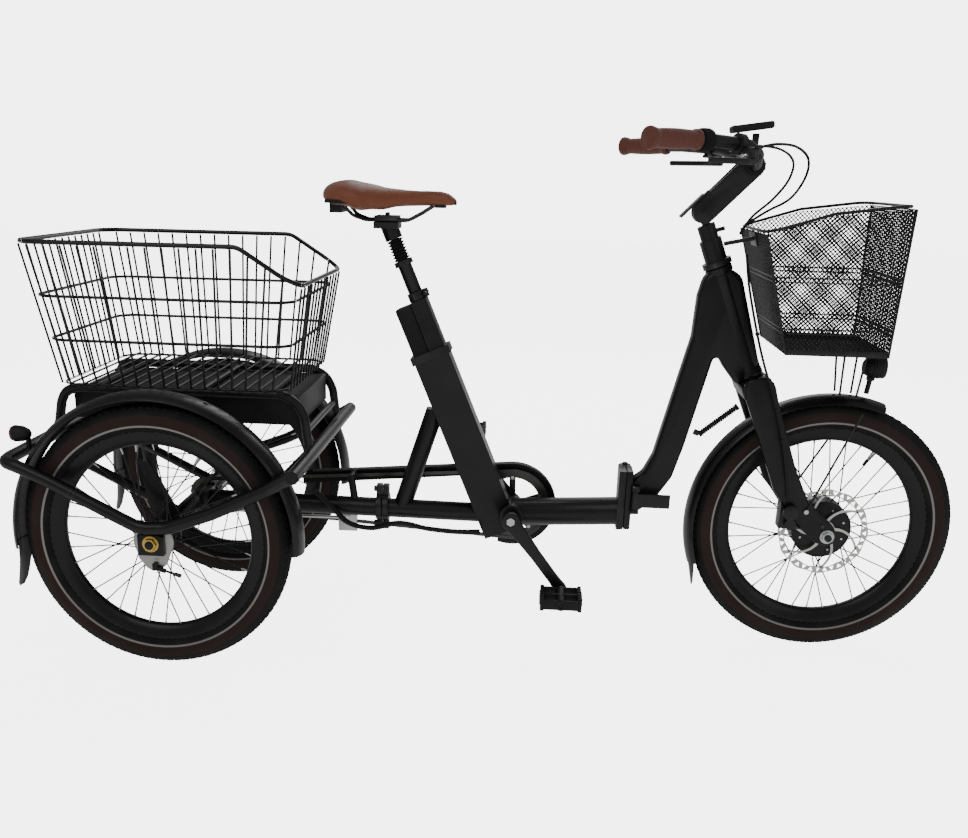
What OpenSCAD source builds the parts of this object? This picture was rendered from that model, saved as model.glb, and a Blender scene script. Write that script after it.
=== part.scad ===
// Adult tricycle with a folding step-through frame, two baskets and a front hub motor.
// +X forward, +Y to the rider's left, +Z up. The origin is on the ground, under the middle of the
// tricycle's length. Lengths measured "from the rear axle" are along X from the rear axle line.

/* [Wheels] */
// Distance between the rear and front axles
wheelbase = 1310; // [1220:5:1400]
// Distance between the middles of the two rear tyres
track = 514; // [490:2:560]
// Outer radius of every tyre
tyre_r = 261; // [254:0.5:266]
// Width of every tyre
tyre_w = 57; // [50:0.5:60]
// Radius of the rim's inner edge, where the spokes end
rim_inner_r = 182; // [176:1:188]
// Spokes in each wheel
spoke_count = 36; // [24:4:40]
// Spoke thickness
spoke_d = 2; // [1.6:0.1:2.6]
// Rear hub flange radius
hub_flange_r = 26; // [20:1:40]
// Front motor shell radius
motor_r = 59; // [50:1:65]
// Brake rotor radius
rotor_r = 90; // [80:1:92]

/* [Rear frame] */
// Diameter of the beam from the rear axle to the seat tube
beam_d = 40; // [34:1:44]
// Seat tube depth, front to back
seat_tube_depth = 74; // [66:1:80]
// Seat tube width, side to side
seat_tube_w = 48; // [44:1:54]
// Lean of the seat tube back from upright, in degrees
seat_lean = 23; // [19:0.5:25]
// Diameter of the bumper frame's tube
bumper_d = 26; // [20:1:28]
// Distance from the middle plane to the bumper frame's side bars
bumper_y = 305; // [300:1:330]
// Diameter of the rack's tube
rack_d = 19; // [14:1:22]
// Distance from the middle plane to each rack hoop
rack_y = 150; // [140:1:160]
// Diameter of the axle shaft
shaft_d = 16; // [12:0.5:18]

/* [Drive] */
// Crank length between the two axes
crank_len = 179; // [150:1:185]
// Angle of the right crank below level, forward
crank_angle = 52.5; // [30:0.5:60]
// Chainring radius
chainring_r = 75; // [64:1:78]
// Rear sprocket radius
sprocket_r = 30; // [26:1:36]
// Distance of the chain line from the middle plane
chain_y = 52; // [50:1:56]

/* [Saddle] */
// Seatpost diameter
seatpost_d = 27.2; // [25.4:0.1:29]
// Saddle width at its widest
saddle_w = 172; // [140:1:200]
// Height of the saddle's top above the ground
saddle_z = 918; // [890:1:950]

/* [Front frame and steering] */
// Down tube depth, front to back
down_tube_depth = 68; // [56:1:74]
// Down tube width, side to side
down_tube_w = 44; // [36:1:48]
// Head angle in degrees from level
head_angle = 68; // [66:0.5:70]
// Steerer diameter
steerer_d = 30; // [28.6:0.1:32]
// Handlebar tube diameter
bar_d = 22.2; // [20:0.1:24]
// Distance from the middle plane to the end of each grip
grip_end_y = 312; // [290:1:315]
// Grip diameter
grip_d = 34; // [30:0.5:36]

/* [Baskets] */
// Height of the rear basket's rim at the back
rear_rim_z = 802; // [760:1:830]
// Half width of the rear basket at the rim
rear_rim_y = 220; // [205:1:230]
// Rear basket rim wire diameter
rim_wire_d = 8; // [6:0.5:10]
// Thickness of the rear basket's upright wires
side_wire_d = 3.4; // [2.5:0.1:4]
// Spacing of the rear basket's upright wires
wire_step = 30; // [24:1:40]
// Half width of the front basket at the rim
front_rim_y = 140; // [125:1:150]
// Sheet thickness of the front basket's mesh walls
mesh_t = 2; // [1.5:0.1:3]

/* [Hidden] */

$fn = 48;
run_gap = 0.05;
seat_gap = 0.3;
free_gap = 1;

// rear overhang of the mud flap behind the rear axle, which sets the middle of the length
flap_reach = tyre_r + 52;
rear_x = (flap_reach - wheelbase - tyre_r) / 2;
axle_z = tyre_r;
wheel_y = track / 2;
tyre_t = tyre_w / 2;
tyre_ring_r = tyre_r - tyre_t;
rim_outer_r = tyre_ring_r - tyre_t + 5;
rim_half_w = 17;
hub_half_w = 28;

// rear fenders
fender_gap = 24;
fender_wall = 2;
rear_fender_r = tyre_r + fender_gap;
rear_fender_half_w = 33.6;
front_fender_r = tyre_r + 15;
front_fender_half_w = 33;

// bottom bracket, from the rear axle
bb_x = 675;
bb_z = axle_z + 2;
bb_half_w = 38;
bb_r = 24;
crank_y = 76;
crank_t = 14;

// seat tube axis, from a point low on the tube upwards
seat_dir = [-sin(seat_lean), 0, cos(seat_lean)];
seat_foot = [656, 0, 221];
seat_tube_len = 408;
seat_wall = 3;
post_ahead = 16;
bore_r = seatpost_d / 2 + run_gap;

// ends of the rear beam, in front of the axle housing and behind the seat tube
beam_back = [28.5, 0, axle_z + 2];
beam_front = [seat_foot[0] - 40, 0, bb_z - 5];

// frame hinge
hinge_x = 907;
hinge_y = 34;
hinge_pin_r = 6;
hinge_low = 243;
hinge_high = 367;
hinge_gap = 0.6;

// steering axis passes through this point, from the rear axle line
steer_x = 1049;
steer_z = 783;
steer_dir = [-cos(head_angle), 0, sin(head_angle)];
crown_low = -265;
crown_high = -222;
fork_in = 51;
fork_t = 22;
stem_pivot = [1015, 0, 874];
bar_clamp = [1096, 0, 958];

module chassis() { translate([rear_x, 0, 0]) children(); }

module rod(a, b, d) {
    v = b - a;
    len = norm(v);
    translate(a)
        rotate([0, acos(v[2] / len), atan2(v[1], v[0])])
            cylinder(h = len, d = d);
}

function unit(v) = v / norm(v);

// the angle a path turns through at corner q, coming from p and going on to r
function turn_at(p, q, r) = acos(max(-1, min(1, unit(q - p) * unit(r - q))));

// points along the arc that rounds corner q, for a bend of up to the wanted radius
function arc_at(p, q, r, bend, n) = let (
    u = unit(q - p),
    v = unit(r - q),
    turn = turn_at(p, q, r),
    trim = min(bend * tan(turn / 2), 0.48 * norm(q - p), 0.48 * norm(r - q)),
    radius = trim / tan(turn / 2),
    w = unit(v - (v * u) * u),
    c = q - trim * u + radius * w
) [for (k = [0 : n]) c + radius * (sin(turn * k / n) * u - cos(turn * k / n) * w)];

function ring_at(p, t, r, sides, ref) = let (side = unit(cross(t, ref)), up = cross(t, side))
    [for (i = [0 : sides - 1]) p + r * (cos(360 * i / sides) * side + sin(360 * i / sides) * up)];

// a round tube swept along the points q, closed on itself or with two flat ends
module swept(q, d, sides, ref, closed = false) {
    m = len(q);
    last = closed ? m - 1 : m - 2;
    rings = [for (i = [0 : m - 1]) let (
        before = closed ? q[(i + m - 1) % m] : q[max(0, i - 1)],
        after = closed ? q[(i + 1) % m] : q[min(m - 1, i + 1)]
    ) ring_at(q[i], unit(after - before), d / 2, sides, ref)];
    walls = [for (k = [0 : last], i = [0 : sides - 1]) let (n = (k + 1) % m, j = (i + 1) % sides)
        [k * sides + i, n * sides + i, n * sides + j, k * sides + j]];
    ends = closed ? [] : [[for (i = [0 : sides - 1]) i],
        [for (i = [sides - 1 : -1 : 0]) (m - 1) * sides + i]];
    polyhedron(points = [for (r = rings) each r], faces = concat(walls, ends));
}

// a tube through the points, bent at each corner between its ends
module path_rod(points, d, bend = 60, sides = 12, ref = [0, 1, 0]) {
    n = len(points) - 1;
    swept(concat([points[0]], [for (i = [1 : n - 1]) each arc_at(points[i - 1], points[i], points[i + 1], bend, 4)],
        [points[n]]), d, sides, ref);
}

// a closed hoop of wire through the points
module wire_loop(points, d, bend = 40) {
    n = len(points);
    swept([for (i = [0 : n - 1]) each arc_at(points[(i + n - 1) % n], points[i], points[(i + 1) % n], bend, 3)],
        d, 8, [0, 0, 1], true);
}

// a plate in the XZ plane between y0 and y0 + t
module side_plate(y0, t) {
    translate([0, y0 + t, 0]) rotate([90, 0, 0]) linear_extrude(t) children();
}

// a ring about the Y axis through the point p, between two angles measured from +X upwards
module ring_y(p, from, to) {
    translate(p) rotate([90, 0, 0]) rotate([0, 0, from]) rotate_extrude(angle = to - from, $fn = 96)
        children();
}

module both_sides() {
    children();
    mirror([0, 1, 0]) children();
}

function seat_at(along, ahead) = seat_foot + along * seat_dir + ahead * [cos(seat_lean), 0, sin(seat_lean)];
function steer_at(along) = [steer_x, 0, steer_z] + along * steer_dir;
function lerp(a, b, t) = a + (b - a) * t;

module along_seat() { translate(seat_foot) rotate([0, -seat_lean, 0]) children(); }
module along_steer() { translate([steer_x, 0, steer_z]) rotate([0, head_angle - 90, 0]) children(); }

// ---------- wheels ----------

module tyre_shape() {
    rotate([90, 0, 0]) rotate_extrude($fn = 120) difference() {
        translate([tyre_ring_r, 0]) circle(r = tyre_t, $fn = 48);
        translate([0, -rim_half_w - 0.2]) square([rim_outer_r + 0.2, 2 * rim_half_w + 0.4]);
    }
}

module rim_shape() {
    rotate([90, 0, 0]) rotate_extrude($fn = 120)
        polygon([[rim_inner_r, -9], [rim_inner_r, 9], [rim_inner_r + 8, rim_half_w],
            [rim_outer_r, rim_half_w], [rim_outer_r, rim_half_w - 3], [rim_outer_r - 8, rim_half_w - 5],
            [rim_outer_r - 8, 5 - rim_half_w], [rim_outer_r, 3 - rim_half_w],
            [rim_outer_r, -rim_half_w], [rim_inner_r + 8, -rim_half_w]]);
}

module spokes_shape(flange_r, flange_y, twist_deg) {
    step = 360 / spoke_count;
    for (i = [0 : spoke_count - 1]) {
        side = i % 2 == 0 ? 1 : -1;
        lead = floor(i / 2) % 2 == 0 ? 1 : -1;
        a = i * step;
        b = a + lead * twist_deg;
        y = side * (flange_y - (lead > 0 ? 0 : 4));
        foot_r = flange_r + free_gap;
        tip_r = rim_inner_r - 0.4;
        rod([foot_r * cos(b), y, foot_r * sin(b)], [tip_r * cos(a), side * 2, tip_r * sin(a)], spoke_d);
    }
}

module hub_shape(bore_d) {
    difference() {
        rotate([90, 0, 0]) union() {
            cylinder(h = 2 * hub_half_w, r = 15, center = true);
            for (s = [-1, 1]) translate([0, 0, s * (hub_half_w - 3.5)])
                cylinder(h = 7, r = hub_flange_r, center = true);
        }
        rotate([90, 0, 0]) cylinder(h = 3 * hub_half_w, d = bore_d, center = true);
    }
}

module at_rear_wheel(side) { chassis() translate([0, side * wheel_y, axle_z]) children(); }
module at_front_wheel() { chassis() translate([wheelbase, 0, axle_z]) children(); }

module rear_tyre_left() { color("#2b2624") at_rear_wheel(1) tyre_shape(); }
module rear_tyre_right() { color("#2b2624") at_rear_wheel(-1) tyre_shape(); }
module front_tyre() { color("#2b2624") at_front_wheel() tyre_shape(); }
module rear_rim_left() { color("#151515") at_rear_wheel(1) rim_shape(); }
module rear_rim_right() { color("#151515") at_rear_wheel(-1) rim_shape(); }
module front_rim() { color("#151515") at_front_wheel() rim_shape(); }

module rear_spokes_left() {
    color("#333333") at_rear_wheel(1) {
        hub_shape(shaft_d);
        spokes_shape(hub_flange_r, hub_half_w - 1.5, 55);
    }
}

module rear_spokes_right() {
    color("#333333") at_rear_wheel(-1) {
        hub_shape(shaft_d + 2 * run_gap);
        spokes_shape(hub_flange_r, hub_half_w - 1.5, 55);
    }
}

// motor shell with its brake rotor bolted to the right face
module front_spokes() {
    color("#303030") at_front_wheel() {
        difference() {
            rotate([90, 0, 0]) union() {
                cylinder(h = 60, r = motor_r - 4, center = true);
                cylinder(h = 48, r = motor_r, center = true);
                translate([0, 0, 30]) cylinder(h = 10, r = 22);
                translate([0, 0, -36]) cylinder(h = 6, r = 22);
                translate([0, 0, 38]) rotor_disc();
            }
            rotate([90, 0, 0]) cylinder(h = 120, d = 14 + 2 * run_gap, center = true);
        }
        spokes_shape(motor_r, 22, 30);
    }
}

module rotor_disc() {
    difference() {
        cylinder(h = 2, r = rotor_r, $fn = 96);
        for (i = [0 : 5]) rotate([0, 0, 60 * i]) translate([48, 0, -1]) scale([1, 0.72, 1])
            cylinder(h = 4, r = 21);
        for (i = [0 : 11]) rotate([0, 0, 30 * i]) translate([80, 0, -1]) cylinder(h = 4, r = 3.4);
    }
}

// ---------- rear frame ----------

module rear_beam() {
    low = hinge_low;
    high = hinge_high;
    leaf_x = hinge_x - hinge_gap / 2 - 14;
    color("#1a1a1a") chassis() difference() {
        union() {
            rod(beam_back, beam_front, beam_d);
            rod([bb_x, -bb_half_w, bb_z], [bb_x, bb_half_w, bb_z], 2 * bb_r);
            rod([bb_x, 0, bb_z], [leaf_x + 4, 0, bb_z + 12], 58);
            translate([leaf_x, -30, low]) cube([14, 58, high - low]);
            rod([340, 0, bb_z + 12], [332, 0, bb_z + 66], 16);
            rod([332, 0, bb_z + 56], [332, 30, bb_z + 60], 13);
        }
        translate([bb_x, 0, bb_z]) rotate([90, 0, 0]) cylinder(h = 120, r = 10 + run_gap, center = true);
        hinge_pin_cut();
    }
    color("#8a8a8a") chassis() translate([hinge_x, hinge_y, low - 4])
        cylinder(h = high - low + 8, r = hinge_pin_r);
    color("#1a1a1a") chassis() for (z = [low, high - 34]) difference() {
        union() {
            translate([hinge_x, hinge_y, z]) cylinder(h = 34, r = 12);
            translate([hinge_x - 14, hinge_y - 6.4, z]) cube([8, 8, 34]);
        }
        translate([hinge_x, hinge_y, z - 1]) cylinder(h = 36, r = hinge_pin_r);
    }
}

module hinge_pin_cut() {
    translate([hinge_x, hinge_y, hinge_low - 2])
        cylinder(h = hinge_high - hinge_low + 4, r = 12.4);
}

module seat_box(d, w, h) { translate([-d / 2, -w / 2, 0]) cube([d, w, h]); }

module seat_tube() {
    inner_d = seat_tube_depth - 2 * seat_wall;
    inner_w = seat_tube_w - 2 * seat_wall;
    color("#1a1a1a") chassis() {
        difference() {
            union() {
                along_seat() seat_box(seat_tube_depth, seat_tube_w, seat_tube_len);
                along_seat() translate([0, 0, seat_tube_len - 16])
                    seat_box(seat_tube_depth + 8, seat_tube_w + 8, 16);
            }
            along_seat() translate([0, 0, 70]) seat_box(inner_d, inner_w, seat_tube_len);
            translate([bb_x, 0, bb_z]) rotate([90, 0, 0]) cylinder(h = 120, r = bb_r + 0.2, center = true);
            rod([bb_x, 0, bb_z], [845, 0, bb_z + 2], 58.4);
            rod(beam_back, beam_front, beam_d + 0.4);
        }
        // inner sleeve that carries the seatpost, ahead of the battery
        difference() {
            along_seat() translate([inner_d / 2 - 33.4, -inner_w / 2 + 0.2, 72])
                cube([33, inner_w - 0.4, seat_tube_len + 28]);
            along_seat() translate([post_ahead, 0, 60]) cylinder(h = seat_tube_len + 90, r = bore_r);
        }
        seat_prop();
    }
}

module seat_prop() {
    difference() {
        rod([442, 0, bb_z + 2], seat_at(290, -36), 38);
        along_seat() seat_box(seat_tube_depth + 0.2, seat_tube_w + 0.2, seat_tube_len);
        rod(beam_back, beam_front, beam_d + 0.4);
    }
}

module battery_pack() {
    inner_d = seat_tube_depth - 2 * seat_wall;
    inner_w = seat_tube_w - 2 * seat_wall;
    color("#202020") chassis() along_seat() translate([-inner_d / 2 + seat_gap, -inner_w / 2 + seat_gap, 79])
        cube([inner_d - 34 - 2 * seat_gap, inner_w - 2 * seat_gap, seat_tube_len + 19]);
}

module seat_clamp() {
    color("#2a2a2a") chassis() along_seat() translate([post_ahead, 0, seat_tube_len + 100.5]) {
        difference() {
            union() {
                cylinder(h = 16, r = seatpost_d / 2 + 4);
                translate([8, -8, 0]) cube([16, 16, 16]);
            }
            translate([0, 0, -1]) cylinder(h = 18, r = bore_r);
            translate([10, -1, -1]) cube([20, 2, 18]);
        }
        translate([20, 26, 8]) rotate([90, 0, 0]) cylinder(h = 52, r = 3);
    }
}

module beam_coupling() {
    color("#303030") chassis() for (x = [388, 402]) difference() {
        translate([x, 0, bb_z + 0]) rotate([0, 90, 0]) union() {
            cylinder(h = 12, r = beam_d / 2 + 9);
            translate([-48, -9, 0]) cube([96, 18, 12]);
        }
        rod(beam_back, beam_front, beam_d + 2 * seat_gap);
    }
    color("#b8b8b8") chassis() for (z = [-38, 38]) translate([382, 0, bb_z + z])
        rotate([0, 90, 0]) cylinder(h = 5.8, r = 6);
}

// cross tube behind the axle line with the plates that hold the axle's bearings
module axle_housing() {
    color("#1a1a1a") chassis() {
        difference() {
            union() {
                rod([0, -200, axle_z], [0, 30, axle_z], 40);
                rod([0, 70, axle_z], [0, 200, axle_z], 40);
                translate([4, -30, axle_z - 24]) cube([24, 60, 48]);
            }
            rod([0, -240, axle_z], [0, 240, axle_z], shaft_d + 2 * run_gap);
        }
        both_sides() difference() {
            side_plate(-208, 7.9) polygon([[-26, axle_z - 26], [26, axle_z - 26], [26, axle_z + 30],
                [-30, 400], [-52, 400], [-26, axle_z + 10]]);
            rod([0, -240, axle_z], [0, 240, axle_z], shaft_d + 2 * run_gap);
        }
        both_sides() difference() {
            side_plate(-304, 12) polygon([[-26, axle_z - 24], [24, axle_z - 24], [24, axle_z + 14],
                [10, axle_z + 17], [-26, axle_z + 17]]);
            rod([0, -340, axle_z], [0, 340, axle_z], shaft_d + 2 * run_gap);
        }
    }
}

module brake_plates() {
    color("#a7a9aa") chassis() both_sides() {
        difference() {
            union() {
                rod([0, -291.7, axle_z], [0, -287.2, axle_z], 78);
                side_plate(-291.7, 4.5) polygon([[-34, axle_z - 18], [-4, axle_z - 60], [14, axle_z - 56],
                    [38, axle_z - 10]]);
            }
            rod([0, -340, axle_z], [0, 340, axle_z], shaft_d + 2);
        }
    }
    color("#262626") chassis() both_sides() rod([2, -296, axle_z - 50], [52, -296, axle_z - 66], 8);
}

module axle_nuts() {
    color("#c9a44a") chassis() both_sides() difference() {
        union() {
            rod([0, -307, axle_z], [0, -304.1, axle_z], 32);
            translate([0, -307, axle_z]) rotate([90, 0, 0]) cylinder(h = 8, r = 13, $fn = 6);
        }
        rod([0, -330, axle_z], [0, -300, axle_z], shaft_d);
    }
}

bumper_low_z = axle_z + 17 + bumper_d / 2;
bumper_back_x = -276;
bumper_front_x = 278;
bumper_z = 405;

module bumper_frame() {
    y = bumper_y;
    side = [[bumper_front_x - 2, -y, bumper_z], [226, -y, 376], [120, -y, 326], [34, -y, bumper_low_z + 3],
        [-18, -y, bumper_low_z], [-62, -y, bumper_low_z + 22], [-186, -y, 376],
        [bumper_back_x + 29, -y, bumper_z - 2], [bumper_back_x + 4, -y + 7, bumper_z + 3],
        [bumper_back_x, -y + 35, bumper_z + 4]];
    n = len(side);
    color("#1a1a1a") chassis() {
        path_rod(concat(side, [for (i = [n - 1 : -1 : 0]) [side[i][0], -side[i][1], side[i][2]]]), bumper_d);
        rod([bumper_front_x, -y - 12, bumper_z], [bumper_front_x, y + 12, bumper_z], bumper_d + 1);
        // short tubes that carry the bumper from the rear beam
        difference() {
            rod([bumper_front_x - 4, 0, bumper_z - 2], [150, 0, axle_z + 14], 22);
            rod(beam_back, beam_front, beam_d + 2 * seat_gap);
        }
        both_sides() rod([bumper_back_x + 19.6, -120, bumper_z - 8], [-16, -120, axle_z + 14], 20);
    }
}

module tail_lights() {
    color("#7c1512") chassis() both_sides() rod([-322 + 44, -250, 452], [-294 + 44, -250, 452], 30);
    color("#1a1a1a") chassis() both_sides() {
        rod([-293.9 + 44, -250, 452], [-280 + 44, -250, 452], 26);
        rod([-280 + 40, -250, bumper_z + 17.2], [-280 + 40, -250, 441], 10);
    }
}

rack_top = 524;
rack_rear_x = -216;
rack_front_x = 268;

module rack_frame() {
    foot_rear = [bumper_back_x + 16, -rack_y, bumper_z + 10];
    foot_front = [bumper_front_x - 4, -rack_y, bumper_z + 22.8];
    color("#1a1a1a") chassis() {
        both_sides() path_rod([foot_rear, [rack_rear_x - 10, -rack_y, 446], [rack_rear_x, -rack_y, rack_top - 28],
            [rack_rear_x + 10, -rack_y, rack_top - 8], [rack_rear_x + 32, -rack_y, rack_top],
            [rack_front_x - 44, -rack_y, rack_top], [rack_front_x - 14, -rack_y, rack_top - 14],
            [rack_front_x, -rack_y, rack_top - 44], foot_front], rack_d);
        for (x = [-150, 60, 200]) rod([x, -rack_y, rack_top - 1], [x, rack_y, rack_top - 1], 12);
        rod([rack_front_x + 1, -rack_y, 452], [rack_front_x + 1, rack_y, 452], 14);
    }
}

module controller_case() {
    color("#141414") chassis() difference() {
        translate([-196, -138, 462]) cube([452, 276, 54.4]);
        for (x = [-150, 60, 200]) rod([x, -rack_y, rack_top - 1], [x, rack_y, rack_top - 1], 12.6);
    }
}

// ---------- rear basket ----------

floor_z = rack_top + rack_d / 2 + seat_gap + 2;
basket_back = -250;
basket_front = 278;
floor_back = -205;
floor_front = 246;
floor_y = rear_rim_y - 30;
front_rim_z = rear_rim_z - 68;
slope_from = 168;

function rim_height(x) = x < slope_from ? rear_rim_z
    : lerp(rear_rim_z, front_rim_z, (x - slope_from) / (basket_front - slope_from));

// a horizontal hoop just inside the upright wires at height z
module rear_basket_ring(z, d) {
    t = (z - floor_z) / (rear_rim_z - floor_z);
    inset = (side_wire_d + d) / 2 + seat_gap + 0.4;
    xb = lerp(floor_back, basket_back, t) + inset;
    xf = lerp(floor_front, basket_front, t) - inset;
    y = lerp(floor_y, rear_rim_y, t) - inset;
    c = 24;
    wire_loop([[xb + c, -y, z], [xf - c, -y, z], [xf, c - y, z], [xf, y - c, z], [xf - c, y, z],
        [xb + c, y, z], [xb, y - c, z], [xb, c - y, z]], d);
}

module rear_basket() {
    y = rear_rim_y;
    c = 28;
    xb = basket_back;
    xf = basket_front;
    z = rear_rim_z;
    zf = front_rim_z;
    n_side = floor((floor_front - floor_back) / wire_step);
    n_end = floor(2 * floor_y / wire_step);
    seat = rim_wire_d / 2 + seat_gap + 1.2;
    foot = floor_z + 4 + side_wire_d / 2 + seat_gap;
    color("#111111") chassis() {
        wire_loop([[xb + c, -y, z], [slope_from, -y, z], [xf - c, -y, zf + 16], [xf, c - y, zf],
            [xf, y - c, zf], [xf - c, y, zf + 16], [slope_from, y, z], [xb + c, y, z],
            [xb, y - c, z], [xb, c - y, z]], rim_wire_d);
        rear_basket_ring(704, 5);
        rear_basket_ring(622, 5);
        rear_basket_ring(floor_z + 1.4, 4);
        for (i = [0 : n_side]) {
            t = i / n_side;
            xt = lerp(basket_back + c, basket_front - c, t);
            xl = lerp(floor_back + c, floor_front - c, t);
            both_sides() rod([xt, -y, rim_height(xt) - seat], [xl, -floor_y, foot], side_wire_d);
            rod([xl, -floor_y - 1, foot - 2.2], [xl, floor_y + 1, foot - 2.2], side_wire_d);
        }
        for (i = [0 : n_end]) {
            t = i / n_end;
            yt = lerp(c - y, y - c, t);
            yl = lerp(c - floor_y, floor_y - c, t);
            rod([xb, yt, z - seat], [floor_back, yl, floor_z], side_wire_d);
            rod([xf, yt, zf - seat], [floor_front, yl, floor_z], side_wire_d);
        }
    }
}

// ---------- fenders ----------

module fender_section(r, half_w, crown) {
    difference() {
        intersection() {
            translate([r - crown, 0]) difference() {
                circle(r = crown);
                circle(r = crown - fender_wall);
            }
            translate([r - 18, -half_w]) square([30, 2 * half_w]);
        }
    }
}

module rear_fender(side) {
    color("#161616") chassis() {
        ring_y([0, side * wheel_y, axle_z], -4, 186) fender_section(rear_fender_r, rear_fender_half_w, 62);
        // mud flap
        translate([0, side * wheel_y, axle_z]) rotate([0, -186, 0])
            translate([rear_fender_r - 3.4, -26, -46]) rotate([0, 20, 0]) cube([3, 52, 48]);
        // stays from the axle housing and the rack
        translate([0, side * (wheel_y - rear_fender_half_w - 2.4), 0]) {
            rod([-30, 0, 400], [-40, 0, axle_z + rear_fender_r - 22], 7);
        }
    }
}

module rear_fender_right() { rear_fender(-1); }
module rear_fender_left() { rear_fender(1); }

module front_fender() {
    color("#161616") chassis() {
        ring_y([wheelbase, 0, axle_z], 70, 199) fender_section(front_fender_r, front_fender_half_w, 50);
        translate([wheelbase, 0, axle_z]) rotate([0, -199, 0])
            translate([front_fender_r - 3.2, -20, -34]) rotate([0, 8, 0]) cube([3, 40, 36]);
    }
}

// ---------- drive ----------

module crank_arms() {
    c = [bb_x, 0, bb_z];
    v = crank_len * [cos(crank_angle), 0, -sin(crank_angle)];
    color("#222222") chassis() {
        rod(c - [0, crank_y - 3, 0], c + [0, crank_y - 3, 0], 20);
        for (s = [-1, 1]) {
            hub = c + [0, s * (crank_y - crank_t / 2), 0];
            tip = hub - s * v;
            difference() {
                union() {
                    rod(hub - [0, crank_t / 2, 0], hub + [0, crank_t / 2, 0], 38);
                    rod(tip - [0, crank_t / 2, 0], tip + [0, crank_t / 2, 0], 28);
                    translate(hub) rotate([0, crank_angle, 0]) translate([s > 0 ? -crank_len : 0, 0.5 - crank_t / 2, -12])
                        cube([crank_len, crank_t - 1, 24]);
                }
                rod(tip - [0, crank_t, 0], tip + [0, crank_t, 0], 12 + 2 * run_gap);
            }
        }
    }
}

module chainring() {
    color("#8f9295") chassis() translate([bb_x, chain_y + 1.5, bb_z]) rotate([90, 0, 0]) difference() {
        cylinder(h = 3, r = chainring_r, $fn = 96);
        translate([0, 0, -1]) cylinder(h = 5, r = 10.2);
        for (i = [0 : 4]) rotate([0, 0, 72 * i]) translate([42, 0, -1]) cylinder(h = 5, r = 17);
    }
    color("#222222") chassis() translate([bb_x, chain_y + 8.4, bb_z]) rotate([90, 0, 0]) difference() {
        cylinder(h = 6.8, r = 22);
        translate([0, 0, -1]) cylinder(h = 9, r = 10.2);
    }
}

module pedal(side) {
    c = [bb_x, 0, bb_z] - side * crank_len * [cos(crank_angle), 0, -sin(crank_angle)];
    in_y = crank_y + 3;
    color("#1c1c1c") chassis() translate([c[0], 0, c[2]]) difference() {
        union() {
            rod([0, side * (crank_y - crank_t + 0.3), 0], [0, side * (in_y + 92), 0], 12);
            rod([0, side * in_y, 0], [0, side * (in_y + 94), 0], 24);
            for (x = [-42, 33]) translate([x, side > 0 ? in_y + 6 : -in_y - 92, -13]) cube([9, 86, 26]);
            for (y = [8, 84]) translate([-40, side * (in_y + y) - 4, -11]) cube([80, 8, 22]);
        }
    }
    color("#d2691e") chassis() for (s = [-1, 1]) translate([c[0] + s * 43.6 - 1.4, side * (in_y + 49) - 22, c[2] - 8])
        cube([2.8, 44, 16]);
}

module pedal_right() { pedal(-1); }
module pedal_left() { pedal(1); }

module rear_sprocket() {
    color("#8a8a8a") chassis() translate([0, chain_y, axle_z]) rotate([90, 0, 0]) difference() {
        union() {
            cylinder(h = 3, r = sprocket_r, center = true, $fn = 64);
            cylinder(h = 20, r = 20, center = true);
        }
        cylinder(h = 40, r = shaft_d / 2 + run_gap, center = true);
    }
}

module axle_shaft() {
    color("#9a9a9a") chassis() difference() {
        rod([0, -316, axle_z], [0, 316, axle_z], shaft_d);
    }
}

// closed loop around two wheels of radius ra at a and rb at b, as a 2D outline grown by g
module loop_outline(a, ra, b, rb, g) {
    d = norm(b - a);
    tilt = atan2(b[1] - a[1], b[0] - a[0]);
    open = acos((ra - rb) / d);
    p = [for (s = [open : 6 : 360 - open]) a + (ra + g) * [cos(tilt + s), sin(tilt + s)]];
    q = [for (s = [-open : 6 : open]) b + (rb + g) * [cos(tilt + s), sin(tilt + s)]];
    polygon(concat(p, q));
}

chain_t = 6;
chain_lift = 0.5;

module chain() {
    a = [0, axle_z];
    b = [bb_x, bb_z];
    color("#777777") chassis() side_plate(chain_y - 3.5, 7) difference() {
        loop_outline(a, sprocket_r, b, chainring_r, chain_lift + chain_t);
        loop_outline(a, sprocket_r, b, chainring_r, chain_lift);
    }
}

guard_y = chain_y + 8;

module chain_guard() {
    a = [240, axle_z + 36];
    b = [bb_x, bb_z];
    color("#151515") chassis() {
        side_plate(guard_y, 2) difference() {
            loop_outline(a, 24, b, chainring_r + 18, 0);
            loop_outline([200, axle_z + 4], 22, b, chainring_r - 8, 0);
            translate([0, 0]) square([bb_x - 30, bb_z - 4]);
        }
        side_plate(chain_y - 10, 17.9) difference() {
            loop_outline(a, 24, b, chainring_r + 18, 0);
            loop_outline(a, 24, b, chainring_r + 18, -2);
            translate([-100, 0]) square([bb_x + 100, bb_z + 40]);
            square([a[0], bb_z + 100]);
            translate([0, 0]) square([900, bb_z - 40]);
        }
        rod([332, 30.5, bb_z + 62], [332, chain_y - 10.2, bb_z + 62], 12);
    }
}

module chain_tensioner() {
    color("#b5b7b9") chassis() {
        translate([300, 22, 196]) cube([40, 12, 50]);
        path_rod([[299.9, 28, 224], [200, 28, 224], [24, 28, 232.6]], 7, 200, 12);
        rod([320, 10, 232], [320, 21.9, 232], 12);
        rod([322, 34.1, 212], [322, chain_y - 4, 212], 10);
    }
    color("#1a1a1a") chassis() {
        rod([320, 34.1, 232], [320, 40, 232], 13);
    }
}

// ---------- saddle ----------

post_top = 580;
post_foot = 250;
bellows_rings = 7;
ring_h = 6;
head_low = post_top + 10 + bellows_rings * ring_h + 2 * seat_gap;
slider_r = 8;

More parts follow.
